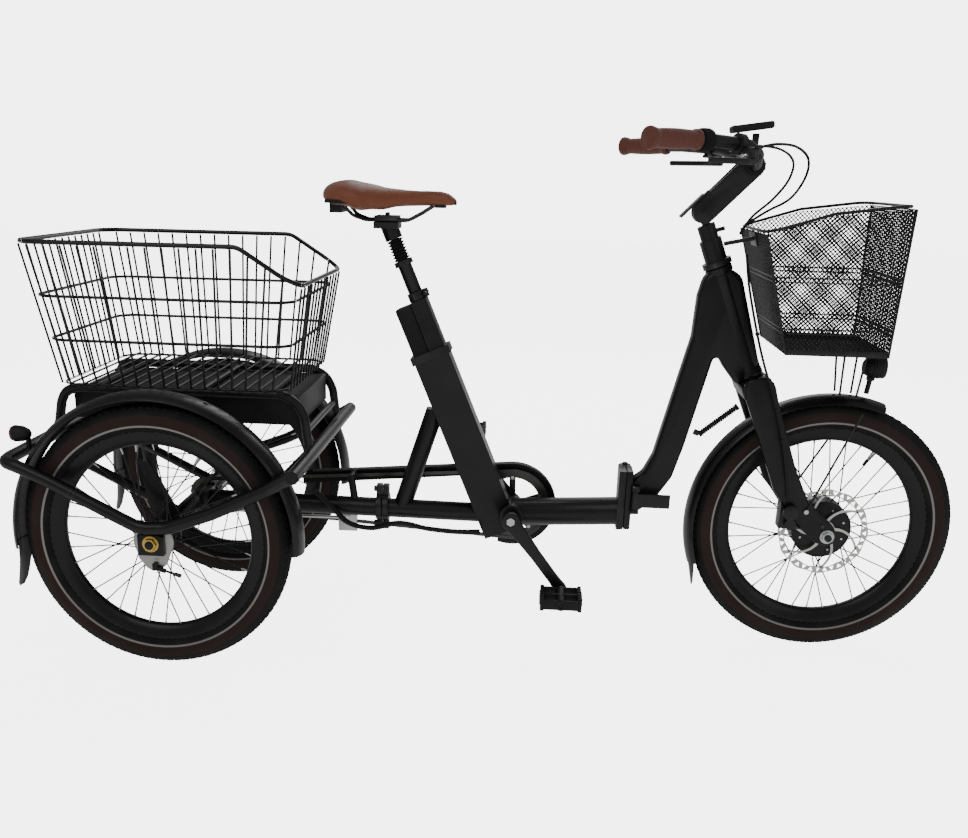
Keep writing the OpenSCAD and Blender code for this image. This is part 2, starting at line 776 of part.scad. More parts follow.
module seatpost() {
    color("#1c1c1c") chassis() along_seat() translate([post_ahead, 0, 0]) difference() {
        union() {
            translate([0, 0, post_foot]) cylinder(h = post_top - post_foot, d = seatpost_d);
            translate([0, 0, post_top]) cylinder(h = 10, r = seatpost_d / 2 + 5);
        }
        translate([0, 0, post_top - 80]) cylinder(h = 100, r = slider_r + run_gap);
    }
}

module seatpost_bellows() {
    color("#101010") chassis() along_seat() translate([post_ahead, 0, post_top + 10 + seat_gap]) difference() {
        union() for (i = [0 : bellows_rings - 1]) {
            translate([0, 0, ring_h * i]) cylinder(h = ring_h, r = 13);
            translate([0, 0, ring_h * i + 1.5]) cylinder(h = 3, r = 16.5);
        }
        translate([0, 0, -1]) cylinder(h = bellows_rings * ring_h + 2, r = slider_r + 1.5);
    }
}

head_h = 34;
rail_d = 7;
cradle = seat_at(head_low + head_h - 4, post_ahead - 2);
rail_z = cradle[2] + rail_d / 2 + 6;

module saddle_clamp() {
    color("#1c1c1c") chassis() {
        along_seat() translate([post_ahead, 0, post_top - 40]) cylinder(h = head_low - post_top + 44, r = slider_r);
        difference() {
            along_seat() translate([post_ahead, 0, head_low]) cylinder(h = head_h, r = 17);
            translate([cradle[0] - 60, -40, cradle[2]]) cube([120, 80, 60]);
        }
        difference() {
            translate([cradle[0] - 24, -29, cradle[2] - 6]) cube([48, 58, 11.7]);
            both_sides() rod([cradle[0] - 30, -22, rail_z], [cradle[0] + 30, -22, rail_z], rail_d + 2 * seat_gap);
        }
        difference() {
            translate([cradle[0] - 22, -29, rail_z + 0.4]) cube([44, 58, 8]);
            both_sides() rod([cradle[0] - 30, -22, rail_z], [cradle[0] + 30, -22, rail_z], rail_d + 2 * seat_gap);
        }
        for (y = [-9, 9]) rod([cradle[0], y, cradle[2]], [cradle[0], y, rail_z + 14], 7);
    }
}

saddle_back = 283;
saddle_nose = 549;

module saddle_rails() {
    z = rail_z;
    under = saddle_z - 42 - rail_d / 2 - 1;
    color("#151515") chassis() both_sides()
        path_rod([[328, -34, under], [346, -27, z + 8], [370, -22, z], [cradle[0] + 38, -22, z],
            [478, -18, z + 14], [500, -12, under]], rail_d, 25, 12);
}

function saddle_half(x) = let (t = (x - saddle_back) / (saddle_nose - saddle_back))
    t < 0.3 ? saddle_w / 2 * sqrt(1 - pow((0.3 - t) / 0.36, 2))
    : lerp(saddle_w / 2, 17, pow(min(1, (t - 0.3) / 0.42), 0.9) * 0.98);

module saddle_outline(inset) {
    xs = [for (i = [0 : 24]) lerp(saddle_back + 5 + inset, saddle_nose - inset * 0.6, i / 24)];
    polygon(concat([for (x = xs) [x, -max(6, saddle_half(x) - inset)]],
        [for (i = [24 : -1 : 0]) [xs[i], max(6, saddle_half(xs[i]) - inset)]]));
}

module saddle_base() {
    color("#101010") chassis() {
        translate([0, 0, saddle_z - 42]) linear_extrude(6) saddle_outline(8);
        translate([302, -34, saddle_z - 60]) cube([22, 68, 18.1]);
        translate([503.6, -14, saddle_z - 48]) cube([20, 28, 6.1]);
    }
}

module saddle_cover() {
    color("#b5653a") chassis() {
        translate([0, 0, saddle_z - 35.7]) linear_extrude(10) saddle_outline(2);
        translate([0, 0, saddle_z - 26]) linear_extrude(12) saddle_outline(0);
        translate([0, 0, saddle_z - 14.2]) linear_extrude(14.2) saddle_outline(12);
    }
}

// ---------- front frame ----------

module front_frame() {
    leaf_x = hinge_x + hinge_gap / 2;
    color("#1a1a1a") chassis() difference() {
        union() {
            translate([leaf_x, -30, hinge_low]) cube([14, 58, hinge_high - hinge_low]);
            side_plate(-down_tube_w / 2, down_tube_w) polygon([[leaf_x + 4, 262], [944, 286], [972, 312],
                [1000, 356], [1018, 420], [1062, 612], [1082, 582], [1118, 540], [1166, 552],
                [1098, 760], [1076, 772], [1026, 770], [1018, 720], [1014, 640], [958, 400], [940, 362],
                [leaf_x + 4, 340]]);
            along_steer() translate([0, 0, -236]) cylinder(h = 228, r = 24);
            translate([hinge_x, hinge_y, hinge_low + 36.4])
                cylinder(h = hinge_high - hinge_low - 72.8, r = 12);
            translate([hinge_x + 6, hinge_y - 6.4, hinge_low + 36.4])
                cube([8, 12, hinge_high - hinge_low - 72.8]);
            rod([1036, -10, 452], [1044, -10, 449], 12);
            for (z = [282, 330]) translate([latch_x - 8, latch_y - 8, z]) cube([16, 30, 8]);
        }
        // room for the fork crown below and the stem above
        along_steer() translate([-60, -60, crown_high - 42]) cube([160, 120, 30.5]);
        along_steer() translate([-60, -60, -8]) cube([160, 120, 40]);
        translate([latch_x, latch_y, 270]) cylinder(h = 80, r = 4 + run_gap);
        along_steer() translate([0, 0, -260]) cylinder(h = 300, r = steerer_d / 2 + run_gap);
        translate([hinge_x, hinge_y, hinge_low - 5])
            cylinder(h = 160, r = hinge_pin_r + run_gap);
        for (z = [hinge_low - 1, hinge_high - 34.6]) translate([hinge_x, hinge_y, z])
            cylinder(h = 35.6, r = 12.6);
    }
}

latch_x = hinge_x + 20;
latch_y = -38;

module hinge_latch() {
    color("#2c2c2c") chassis() {
        translate([latch_x, latch_y, 282]) cylinder(h = 56, r = 4);
        translate([latch_x, latch_y, 290.4]) cylinder(h = 39.2, r = 7);
        translate([latch_x, latch_y - 5, 296]) cube([70, 6, 28]);
    }
}

// ---------- fork and what turns with it ----------

crown = steer_at(crown_low + 20);
blade = [[crown[0] - 28, crown[2] + 12], [crown[0] + 28, crown[2] + 24], [crown[0] + 44, crown[2] - 30],
    [1232, 400], [1266, 330], [1326, 278], [1328, 246], [1312, 240], [1288, 246], [1240, 290],
    [1196, 350], [1160, 440], [crown[0] - 20, crown[2] - 24]];

module front_fork() {
    color("#181818") chassis() difference() {
        union() {
            along_steer() translate([0, 0, crown_high - 6]) cylinder(h = 232, d = steerer_d);
            along_steer() translate([0, 0, crown_high - 6]) translate([0, 0, -36]) cylinder(h = 20, r = 22);
            along_steer() translate([-30, -fork_in - fork_t, crown_low]) cube([60, 2 * (fork_in + fork_t), 30]);
            both_sides() side_plate(-fork_in - fork_t, fork_t) polygon(blade);
        }
        translate([wheelbase, 0, axle_z]) rotate([90, 0, 0]) cylinder(h = 200, r = 7 + run_gap, center = true);
    }
    // fixed motor axle with its nuts
    color("#a8a8a8") chassis() translate([wheelbase, 0, axle_z]) rotate([90, 0, 0]) {
        cylinder(h = 176, r = 7, center = true);
        for (s = [-1, 1]) translate([0, 0, s * (fork_in + fork_t + 5.2)]) cylinder(h = 10, r = 12, center = true, $fn = 6);
    }
    color("#9a9a9a") chassis() both_sides() rod([1262, -fork_in - fork_t - 3, 312],
        [1354, -front_fender_half_w - 6, 505], 3);
}

module steering_spring() {
    a = [1052, -10, 446];
    b = steer_at(crown_low + 8) + [-30, 0, -36];
    color("#1d1d1d") chassis() rod(a, [b[0] - 8, -10, b[2]], 11);
}

module brake_caliper() {
    color("#151515") chassis() {
        difference() {
            translate([wheelbase - 98, -74, axle_z + 14]) cube([44, 33, 58]);
            translate([-0.4, 0, -0.4]) side_plate(-76, 25.3) polygon(blade);
        }
        translate([wheelbase, 0, axle_z]) {
            rod([-80, -88, 50], [-80, -74.1, 50], 30);
            rod([-78, -86, 26], [-78, -74.1, 26], 22);
        }
    }
}

// front basket, with x from the rear axle line
fb_top_z = 895;
fb_mid_z = 880;
fb_back_z = 846;
fb_low_z = 628;
fb_top_back = 1112;
fb_mid = 1226;
fb_top_front = 1364;
fb_low_back = 1174;
fb_low_front = 1360;
fb_low_y = front_rim_y - 18;
fb_rim_d = 6;

// a flat panel with corners p, listed anticlockwise from outside, and thickness vector t inwards
module panel(p, t) {
    n = len(p);
    polyhedron(points = concat(p, [for (q = p) q + t]), faces = concat([[for (i = [n - 1 : -1 : 0]) i]],
        [[for (i = [0 : n - 1]) n + i]], [for (i = [0 : n - 1]) [i, (i + 1) % n, n + (i + 1) % n, n + i]]));
}

// half width of the basket at height z
function fb_y(z) = lerp(fb_low_y, front_rim_y, (z - fb_low_z) / (fb_top_z - fb_low_z));

module front_basket() {
    y = front_rim_y;
    w = fb_low_y;
    e = mesh_t + 1;
    under = fb_rim_d / 2 + seat_gap + 0.6;
    z = fb_top_z;
    yb = fb_y(fb_back_z - under) - e;
    c = 22;
    color("#1b1b1b") chassis() {
        both_sides() panel([[fb_top_back, -fb_y(fb_back_z - under), fb_back_z - under],
            [fb_low_back, -w, fb_low_z], [fb_low_front, -w, fb_low_z], [fb_top_front, -fb_y(z - under), z - under],
            [fb_mid, -fb_y(fb_mid_z - under), fb_mid_z - under]], [0, mesh_t, 0]);
        panel([[fb_top_front, -y + e, z - under], [fb_low_front, -w + e, fb_low_z],
            [fb_low_front, w - e, fb_low_z], [fb_top_front, y - e, z - under]], [-mesh_t, 0, 0]);
        panel([[fb_top_back, yb, fb_back_z - under], [fb_low_back, w - e, fb_low_z],
            [fb_low_back, -w + e, fb_low_z], [fb_top_back, -yb, fb_back_z - under]], [mesh_t, 0, 0]);
        translate([fb_low_back + e, -w + e, fb_low_z])
            cube([fb_low_front - fb_low_back - 2 * e, 2 * w - 2 * e, mesh_t]);
        wire_loop([[fb_top_back + c, -y, fb_back_z + 6], [fb_mid, -y, fb_mid_z],
            [fb_top_front - c, -y, z], [fb_top_front, c - y, z], [fb_top_front, y - c, z],
            [fb_top_front - c, y, z], [fb_mid, y, fb_mid_z], [fb_top_back + c, y, fb_back_z + 6],
            [fb_top_back, y - c, fb_back_z], [fb_top_back, c - y, fb_back_z]], fb_rim_d);
    }
}

module basket_bracket() {
    color("#1a1a1a") chassis() {
        both_sides() rod([1310, -20, axle_z + front_fender_r + 1.3], [1306, -32, fb_low_z - 8], 4.5);
        both_sides() rod([1342, -20, axle_z + front_fender_r - 2], [1348, -32, fb_low_z - 8], 4.5);
        translate([1296, -38, fb_low_z - 7.2]) cube([62, 76, 4.6]);
        // back arm from the stem post to the back wall
        rod([1059.6, 0, 817], [fb_top_back + 1.6, 0, 828], 8);
        translate([fb_top_back + 4, -30, 815]) rotate([0, -16, 0]) cube([3, 60, 26]);
    }
}

module headlight() {
    color("#181818") chassis() {
        rod([1352, 0, 592], [1392, 0, 592], 44);
        rod([1370, 0, 571], [1366, 0, axle_z + front_fender_r + 2], 10);
    }
    color("#dfe6ea") chassis() rod([1392.1, 0, 592], [1398, 0, 592], 40);
}

module stem_post() {
    color("#191919") chassis() {
        difference() {
            along_steer() union() {
                translate([0, 0, -7.6]) cylinder(h = 10.4, r = 28);
                translate([0, 0, 2.6]) cylinder(h = 42, r = 21);
            }
            along_steer() translate([0, 0, -20]) cylinder(h = 26, r = steerer_d / 2 + seat_gap);
        }
        along_steer() translate([0, 0, 44]) cylinder(h = 29, r = 17);
        difference() {
            union() {
                rod(steer_at(60), stem_pivot, 16);
                translate(stem_pivot) rotate([90, 0, 0]) cylinder(h = 18, r = 20, center = true);
            }
            translate(stem_pivot) rotate([90, 0, 0]) cylinder(h = 40, r = 5 + run_gap, center = true);
        }
        rod([1030, 0, 838], [1058, 0, 846], 8);
    }
}

arm_dir = (bar_clamp - stem_pivot) / norm(bar_clamp - stem_pivot);
arm_up = [-arm_dir[2], 0, arm_dir[0]];
arm_half = 21;
latch_pin = stem_pivot + 27 * arm_dir + (arm_half - 8) * arm_up;

module stem_arm() {
    a = stem_pivot;
    b = bar_clamp;
    color("#191919") chassis() difference() {
        union() {
            for (s = [-1, 1]) translate([0, s * 14, 0]) {
                rod(a + [0, -4.6, 0], a + [0, 4.6, 0], 2 * arm_half);
                rod(b + [0, -4.6, 0], b + [0, 4.6, 0], 44);
                side_plate(-4.6, 9.2) polygon([for (q = [a + arm_half * arm_up, b + (arm_half + 0.6) * arm_up,
                    b - (arm_half + 0.6) * arm_up, a - arm_half * arm_up]) [q[0], q[2]]]);
            }
            rod(b + [0, -24, 0], b + [0, 24, 0], 40);
            rod(a + [0, -22, 0], a + [0, 22, 0], 10);
        }
        rod(b + [0, -60, 0], b + [0, 60, 0], bar_d);
        rod(latch_pin + [0, -60, 0], latch_pin + [0, 60, 0], 6 + 2 * run_gap);
    }
}

module stem_latch() {
    turn = atan2(arm_dir[2], arm_dir[0]);
    color("#222222") chassis() {
        rod(latch_pin + [0, -19, 0], latch_pin + [0, 19, 0], 6);
        translate(latch_pin) rotate([0, -turn, 0]) {
            translate([-11, -8, 2]) cube([16, 16, 9]);
            translate([-64, -16, 9]) cube([58, 32, 4]);
        }
    }
}

function bar_points(s) = [bar_clamp, bar_clamp + [0, s * 40, 0], [1086, s * 108, 976], [1058, s * 160, 990],
    [grip_start[0] - 32 * grip_dir[0], s * (grip_start[1] - 32 * grip_dir[1]), grip_start[2]]];

grip_dir = [-cos(38), sin(38), 0];
grip_start = [964, 228, 995];
grip_len = (grip_end_y + grip_d / 2 * grip_dir[0] - grip_start[1]) / grip_dir[1];

function bar_end(s) = [grip_start[0], s * grip_start[1], grip_start[2]]
    + (grip_len - 4) * [grip_dir[0], s * grip_dir[1], 0];

module handlebar() {
    color("#181818") chassis() {
        rod(bar_clamp - [0, 40, 0], bar_clamp + [0, 40, 0], bar_d);
        for (s = [-1, 1]) {
            into = bar_points(s)[4] + 10 * unit(bar_end(s) - bar_points(s)[4]);
            path_rod([bar_clamp + [0, s * 30, 0], bar_points(s)[1], bar_points(s)[2], bar_points(s)[3],
                bar_points(s)[4], into], bar_d - 0.6, 70, 16, [0, 0, 1]);
            rod(bar_points(s)[4], bar_end(s), bar_d);
        }
        // lever clamps
        for (s = [-1, 1]) difference() {
            union() {
                rod([1046, s * 169, 991], [1036, s * 176, 992], 34);
                translate([1062, s * 196, 968.4]) cylinder(h = 14, r = 9);
                rod([1062, s * 196, 977], [1046, s * 176, 985], 12);
            }
            translate([1062, s * 196, 950]) cylinder(h = 60, r = 4 + run_gap);
        }
    }
}

module grips() {
    color("#8d4a2c") chassis() for (s = [-1, 1]) {
        g = [grip_start[0], s * grip_start[1], grip_start[2]];
        d = [grip_dir[0], s * grip_dir[1], 0];
        difference() {
            rod(g, g + grip_len * d, grip_d);
            rod(g - d, g + (grip_len - 3.6) * d, bar_d + 2 * seat_gap);
        }
    }
}

module twist_shifter() {
    g = [grip_start[0], -grip_start[1], grip_start[2]];
    d = [grip_dir[0], -grip_dir[1], 0];
    color("#161616") chassis() difference() {
        rod(g - 26 * d, g - 1 * d, 38);
        rod(g - 30 * d, g + 2 * d, bar_d + 2 * run_gap);
    }
}

module display() {
    color("#151515") chassis() {
        difference() {
            rod([bar_clamp[0], -36, bar_clamp[2]], [bar_clamp[0], -28, bar_clamp[2]], 34);
            rod([bar_clamp[0], -40, bar_clamp[2]], [bar_clamp[0], -20, bar_clamp[2]], bar_d + 0.02);
        }
        translate([bar_clamp[0] - 10, -36, bar_clamp[2] + 14]) cube([12, 8, 42]);
        translate([bar_clamp[0] - 50, -56, bar_clamp[2] + 54]) rotate([0, -8, 0]) cube([76, 46, 13]);
    }
}

module brake_lever(s) {
    color("#161616") chassis() {
        translate([1062, s * 196, 960]) cylinder(h = 24, r = 4);
        translate([0, 0, 958]) linear_extrude(10) polygon([[1070, s * 186], [1074, s * 198], [1050, s * 232],
            [1012, s * 268], [980, s * 294], [972, s * 288], [1002, s * 258], [1036, s * 222], [1054, s * 188]]);
    }
}

module brake_lever_right() { brake_lever(-1); }
module brake_lever_left() { brake_lever(1); }

// ---------- cables ----------

function bend(a, b, c, d, t) = 0.5 * ((2 * b) + (c - a) * t + (2 * a - 5 * b + 4 * c - d) * t * t
    + (3 * b - a - 3 * c + d) * t * t * t);
function smooth(p, n) = concat([for (i = [0 : len(p) - 2], j = [0 : n - 1])
    bend(p[max(0, i - 1)], p[i], p[i + 1], p[min(len(p) - 1, i + 2)], j / n)], [p[len(p) - 1]]);

module cable(points, d, n) { swept(smooth(points, n), d, 8, [0.13, 0.21, 0.97]); }

conduit_route = [[262, -34, 300], [300, -32, 262], [330, -30, 232], [380, -30, 222], [440, -30, 236],
    [500, -30, 226], [560, -30, 222], [610, -36, 226]];
right_cable = [[1067, -201, 984.8], [1104, -170, 992], [1150, -110, 990], [1184, -60, 972], [1190, -30, 940],
    [1170, -16, 902], [1128, -22, 878], [1090, -34, 854]];
left_cable = [[1067, 201, 984.8], [1110, 160, 996], [1156, 90, 992], [1176, 30, 970], [1168, 4, 936],
    [1140, -8, 900], [1104, -16, 868], [1082, -36, 838]];
fork_cable_route = [[1098, -36, 800], [1108, -46, 740], [1128, -64, 660], [1146, -80, 600], [1170, -84, 540],
    [1196, -84, 460], [1214, -84, 380], [1222, -84, 336]];

module frame_conduit() { color("#121212") chassis() cable(conduit_route, 12, 3); }
module control_cables() {
    color("#121212") chassis() {
        cable(right_cable, 5, 4);
        cable(left_cable, 5, 4);
    }
}
module fork_cables() { color("#121212") chassis() cable(fork_cable_route, 5, 4); }

rear_beam();
seat_tube();
battery_pack();
beam_coupling();
axle_housing();
brake_plates();
axle_nuts();
bumper_frame();
tail_lights();
rack_frame();
controller_case();
rear_basket();
rear_fender_right();
rear_fender_left();
chain_guard();
chain_tensioner();
chain();
frame_conduit();
seat_clamp();
seatpost();
seatpost_bellows();
saddle_clamp();
saddle_rails();
saddle_base();
saddle_cover();
crank_arms();
chainring();
pedal_right();
pedal_left();
rear_sprocket();
axle_shaft();
rear_tyre_left();
rear_rim_left();
rear_spokes_left();
rear_tyre_right();
rear_rim_right();
rear_spokes_right();
front_frame();
hinge_latch();
front_fork();
front_fender();
steering_spring();
brake_caliper();
front_basket();
basket_bracket();
headlight();
stem_post();
fork_cables();
stem_arm();
stem_latch();
handlebar();
grips();
twist_shifter();
display();
brake_lever_right();
brake_lever_left();
control_cables();
front_tyre();
front_rim();
front_spokes();
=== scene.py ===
import math

import bmesh
import bpy
from mathutils import Matrix, Vector


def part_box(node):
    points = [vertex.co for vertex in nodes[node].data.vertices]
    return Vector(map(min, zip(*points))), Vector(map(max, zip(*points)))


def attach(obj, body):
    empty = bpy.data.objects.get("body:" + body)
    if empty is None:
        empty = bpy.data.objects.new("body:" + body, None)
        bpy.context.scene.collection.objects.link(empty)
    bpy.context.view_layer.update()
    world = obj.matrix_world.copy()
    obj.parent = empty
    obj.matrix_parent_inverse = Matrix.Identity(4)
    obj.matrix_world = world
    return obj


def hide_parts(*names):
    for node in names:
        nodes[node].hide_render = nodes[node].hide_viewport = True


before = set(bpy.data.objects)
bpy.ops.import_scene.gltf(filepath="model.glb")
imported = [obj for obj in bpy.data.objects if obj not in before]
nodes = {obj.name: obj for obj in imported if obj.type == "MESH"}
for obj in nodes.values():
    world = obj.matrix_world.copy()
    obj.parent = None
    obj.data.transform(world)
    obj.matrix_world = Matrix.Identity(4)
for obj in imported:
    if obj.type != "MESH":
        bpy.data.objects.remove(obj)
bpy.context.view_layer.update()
mm = 0.001
print("frame loaded")


def middle(node):
    low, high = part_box(node)
    return (low + high) / 2


rearAxle = middle("axle_shaft")
frontAxle = middle("front_tyre")


def spot(x, y, z):
    # millimetres from the rear axle line, from the middle plane and above the floor
    return Vector((rearAxle.x + x * mm, y * mm, z * mm))


view = {
    "place": (0.083, -2.1844, 0.937),
    "yaw": 4.386, "pitch": 19.736, "roll": 1.222,
    "lens": 40.1, "shiftX": 0.036, "shiftY": 0.1439,
}


def addCamera():
    yaw, pitch, roll = (math.radians(view[k]) for k in ("yaw", "pitch", "roll"))
    ahead = Vector((-math.sin(yaw) * math.cos(pitch), math.cos(yaw) * math.cos(pitch), -math.sin(pitch)))
    right = Vector((math.cos(yaw), math.sin(yaw), 0))
    up = right.cross(ahead)
    turnedRight = math.cos(roll) * right + math.sin(roll) * up
    turnedUp = -math.sin(roll) * right + math.cos(roll) * up
    turn = Matrix((turnedRight, turnedUp, -ahead)).transposed()
    camera = bpy.data.objects.new("camera", bpy.data.cameras.new("camera"))
    bpy.context.scene.collection.objects.link(camera)
    camera.matrix_world = Matrix.Translation(view["place"]) @ turn.to_4x4()
    camera.data.lens = view["lens"]
    camera.data.sensor_width = 36
    camera.data.shift_x = view["shiftX"]
    camera.data.shift_y = view["shiftY"]
    bpy.context.scene.camera = camera


studio = {"floor": (0.93, 0.93, 0.93), "glow": 0.32, "sky": 0.27, "backdrop": 5.2, "paper": 4.8, "key": 26, "fill": 9,
          "rim": 36}


def addLight(name, place, aim, size, power):
    lamp = bpy.data.lights.new(name, "AREA")
    lamp.energy = power
    lamp.size = size
    lampObject = bpy.data.objects.new(name, lamp)
    lampObject.location = place
    lampObject.rotation_euler = (Vector(aim) - Vector(place)).to_track_quat("-Z", "Y").to_euler()
    bpy.context.scene.collection.objects.link(lampObject)


def brighterWhenSeen(tree, lit, shown, socket):
    seen = tree.nodes.new("ShaderNodeLightPath")
    level = tree.nodes.new("ShaderNodeMapRange")
    tree.links.new(seen.outputs["Is Camera Ray"], level.inputs["Value"])
    level.inputs["To Min"].default_value = studio[lit]
    level.inputs["To Max"].default_value = studio[shown]
    tree.links.new(level.outputs["Result"], socket)


def addStudio():
    world = bpy.data.worlds.new("studio")
    world.use_nodes = True
    tree = world.node_tree
    tree.nodes["Background"].inputs["Color"].default_value = (1, 1, 1, 1)
    # the backdrop itself is brighter than the light it gives, as a lit paper sweep is
    brighterWhenSeen(tree, "sky", "backdrop", tree.nodes["Background"].inputs["Strength"])
    bpy.context.scene.world = world
    bm = bmesh.new()
    bmesh.ops.create_grid(bm, x_segments=1, y_segments=1, size=14)
    mesh = bpy.data.meshes.new("floor")
    bm.to_mesh(mesh)
    bm.free()
    floor = bpy.data.objects.new("floor", mesh)
    bpy.context.scene.collection.objects.link(floor)
    paper = bpy.data.materials.new("paper")
    paper.use_nodes = True
    shader = paper.node_tree.nodes["Principled BSDF"]
    shader.inputs["Base Color"].default_value = (*studio["floor"], 1)
    shader.inputs["Roughness"].default_value = 0.9
    shader.inputs["Emission Color"].default_value = (1, 1, 1, 1)
    brighterWhenSeen(paper.node_tree, "glow", "paper", shader.inputs["Emission Strength"])
    mesh.materials.append(paper)
    addLight("key", (-1.2, -2.4, 3.0), (0, 0, 0.5), 2.2, studio["key"])
    addLight("fill", (2.6, -2.0, 1.6), (0.2, 0, 0.5), 2.0, studio["fill"])
    addLight("rim", (0.4, 2.6, 2.6), (0, 0, 0.6), 2.4, studio["rim"])


addCamera()
addStudio()
print("camera, floor and light")


def newGroup(name, inputs, outputs):
    group = bpy.data.node_groups.new(name, "ShaderNodeTree")
    for label, kind, value in inputs:
        socket = group.interface.new_socket(label, in_out="INPUT", socket_type=kind)
        if value is not None:
            socket.default_value = value
    for label, kind in outputs:
        group.interface.new_socket(label, in_out="OUTPUT", socket_type=kind)
    return group, group.nodes.new("NodeGroupInput"), group.nodes.new("NodeGroupOutput")


def mathNode(tree, operation, first, second=None):
    made = tree.nodes.new("ShaderNodeMath")
    made.operation = operation
    for socket, value in zip(made.inputs, (first, second)):
        if isinstance(value, bpy.types.NodeSocket):
            tree.links.new(value, socket)
        elif value is not None:
            socket.default_value = value
    return made.outputs[0]


def noiseNode(tree, vector, scale, detail):
    made = tree.nodes.new("ShaderNodeTexNoise")
    tree.links.new(vector, made.inputs["Vector"])
    for label, value in (("Scale", scale), ("Detail", detail)):
        if isinstance(value, bpy.types.NodeSocket):
            tree.links.new(value, made.inputs[label])
        else:
            made.inputs[label].default_value = value
    return made.outputs["Fac"]


def makeGrainGroup():
    # fine grain for bump, and slow cloudy variation for colour and gloss
    group, given, made = newGroup("surfaceGrain", [
        ("Vector", "NodeSocketVector", None), ("Scale", "NodeSocketFloat", 300.0),
        ("Clouds", "NodeSocketFloat", 9.0)],
        [("Grain", "NodeSocketFloat"), ("Cloud", "NodeSocketFloat")])
    fine = noiseNode(group, given.outputs["Vector"], given.outputs["Scale"], 3.0)
    slow = noiseNode(group, given.outputs["Vector"], given.outputs["Clouds"], 4.0)
    group.links.new(fine, made.inputs["Grain"])
    group.links.new(slow, made.inputs["Cloud"])
    return group


def makeWearGroup():
    # rubbed edges: high where the surface is sharply convex, broken up by noise
    group, given, made = newGroup("edgeWear", [
        ("Vector", "NodeSocketVector", None), ("Amount", "NodeSocketFloat", 0.5)],
        [("Mask", "NodeSocketFloat")])
    shape = group.nodes.new("ShaderNodeNewGeometry")
    ramp = group.nodes.new("ShaderNodeMapRange")
    group.links.new(shape.outputs["Pointiness"], ramp.inputs["Value"])
    ramp.inputs["From Min"].default_value = 0.53
    ramp.inputs["From Max"].default_value = 0.62
    patches = noiseNode(group, given.outputs["Vector"], 60.0, 3.0)
    broken = mathNode(group, "MULTIPLY", ramp.outputs["Result"], patches)
    group.links.new(mathNode(group, "MULTIPLY", broken, given.outputs["Amount"]), made.inputs["Mask"])
    return group


def makeDustGroup():
    # thin road dust in patches
    group, given, made = newGroup("roadDust", [
        ("Vector", "NodeSocketVector", None), ("Amount", "NodeSocketFloat", 0.1)],
        [("Mask", "NodeSocketFloat")])
    ramp = group.nodes.new("ShaderNodeMapRange")
    group.links.new(noiseNode(group, given.outputs["Vector"], 14.0, 6.0), ramp.inputs["Value"])
    ramp.inputs["From Min"].default_value = 0.45
    ramp.inputs["From Max"].default_value = 0.75
    group.links.new(mathNode(group, "MULTIPLY", ramp.outputs["Result"], given.outputs["Amount"]),
                    made.inputs["Mask"])
    return group


grainGroup = makeGrainGroup()
wearGroup = makeWearGroup()
dustGroup = makeDustGroup()


def placeGroup(tree, group, vector, **values):
    made = tree.nodes.new("ShaderNodeGroup")
    made.node_tree = group
    tree.links.new(vector, made.inputs["Vector"])
    for label, value in values.items():
        made.inputs[label].default_value = value
    return made


def mixColour(tree, share, first, second):
    made = tree.nodes.new("ShaderNodeMix")
    made.data_type = "RGBA"
    if isinstance(share, bpy.types.NodeSocket):
        tree.links.new(share, made.inputs["Factor"])
    else:
        made.inputs["Factor"].default_value = share
    for label, value in (("A", first), ("B", second)):
        socket = [s for s in made.inputs if s.name == label and s.type == "RGBA"][0]
        if isinstance(value, bpy.types.NodeSocket):
            tree.links.new(value, socket)
        else:
            socket.default_value = (*value, 1)
    return [s for s in made.outputs if s.type == "RGBA"][0]


def finish(name, colour, rough, metal=0.0, coat=0.0, grain=400.0, bump=0.05, depth=0.0004,
           wear=0.0, wearColour=(0.25, 0.25, 0.25), dust=0.0, cloud=0.12, sheen=0.0, shine=0.5):
    # one material: colour with slow variation, worn edges, dust, and a fine grain in the bump
    material = bpy.data.materials.new(name)
    material.use_nodes = True
    tree = material.node_tree
    shader = tree.nodes["Principled BSDF"]
    where = tree.nodes.new("ShaderNodeTexCoord").outputs["Object"]
    grainNode = placeGroup(tree, grainGroup, where, Scale=grain)
    darker = tuple(c * (1 - cloud) for c in colour)
    lighter = tuple(min(1, c * (1 + cloud)) for c in colour)
    base = mixColour(tree, grainNode.outputs["Cloud"], darker, lighter)
    if wear:
        wearNode = placeGroup(tree, wearGroup, where, Amount=wear)
        base = mixColour(tree, wearNode.outputs["Mask"], base, wearColour)
    if dust:
        dustNode = placeGroup(tree, dustGroup, where, Amount=dust)
        base = mixColour(tree, dustNode.outputs["Mask"], base, (0.22, 0.2, 0.18))
    tree.links.new(base, shader.inputs["Base Color"])
    spread = tree.nodes.new("ShaderNodeMapRange")
    tree.links.new(grainNode.outputs["Cloud"], spread.inputs["Value"])
    spread.inputs["To Min"].default_value = max(0.02, rough - 0.07)
    spread.inputs["To Max"].default_value = min(1.0, rough + 0.07)
    tree.links.new(spread.outputs["Result"], shader.inputs["Roughness"])
    shader.inputs["Metallic"].default_value = metal
    shader.inputs["Coat Weight"].default_value = coat
    shader.inputs["Coat Roughness"].default_value = 0.12
    shader.inputs["Specular IOR Level"].default_value = shine
    if sheen:
        shader.inputs["Sheen Weight"].default_value = sheen
    relief = tree.nodes.new("ShaderNodeBump")
    relief.inputs["Strength"].default_value = bump
    relief.inputs["Distance"].default_value = depth
    tree.links.new(grainNode.outputs["Grain"], relief.inputs["Height"])
    tree.links.new(relief.outputs["Normal"], shader.inputs["Normal"])
    return material


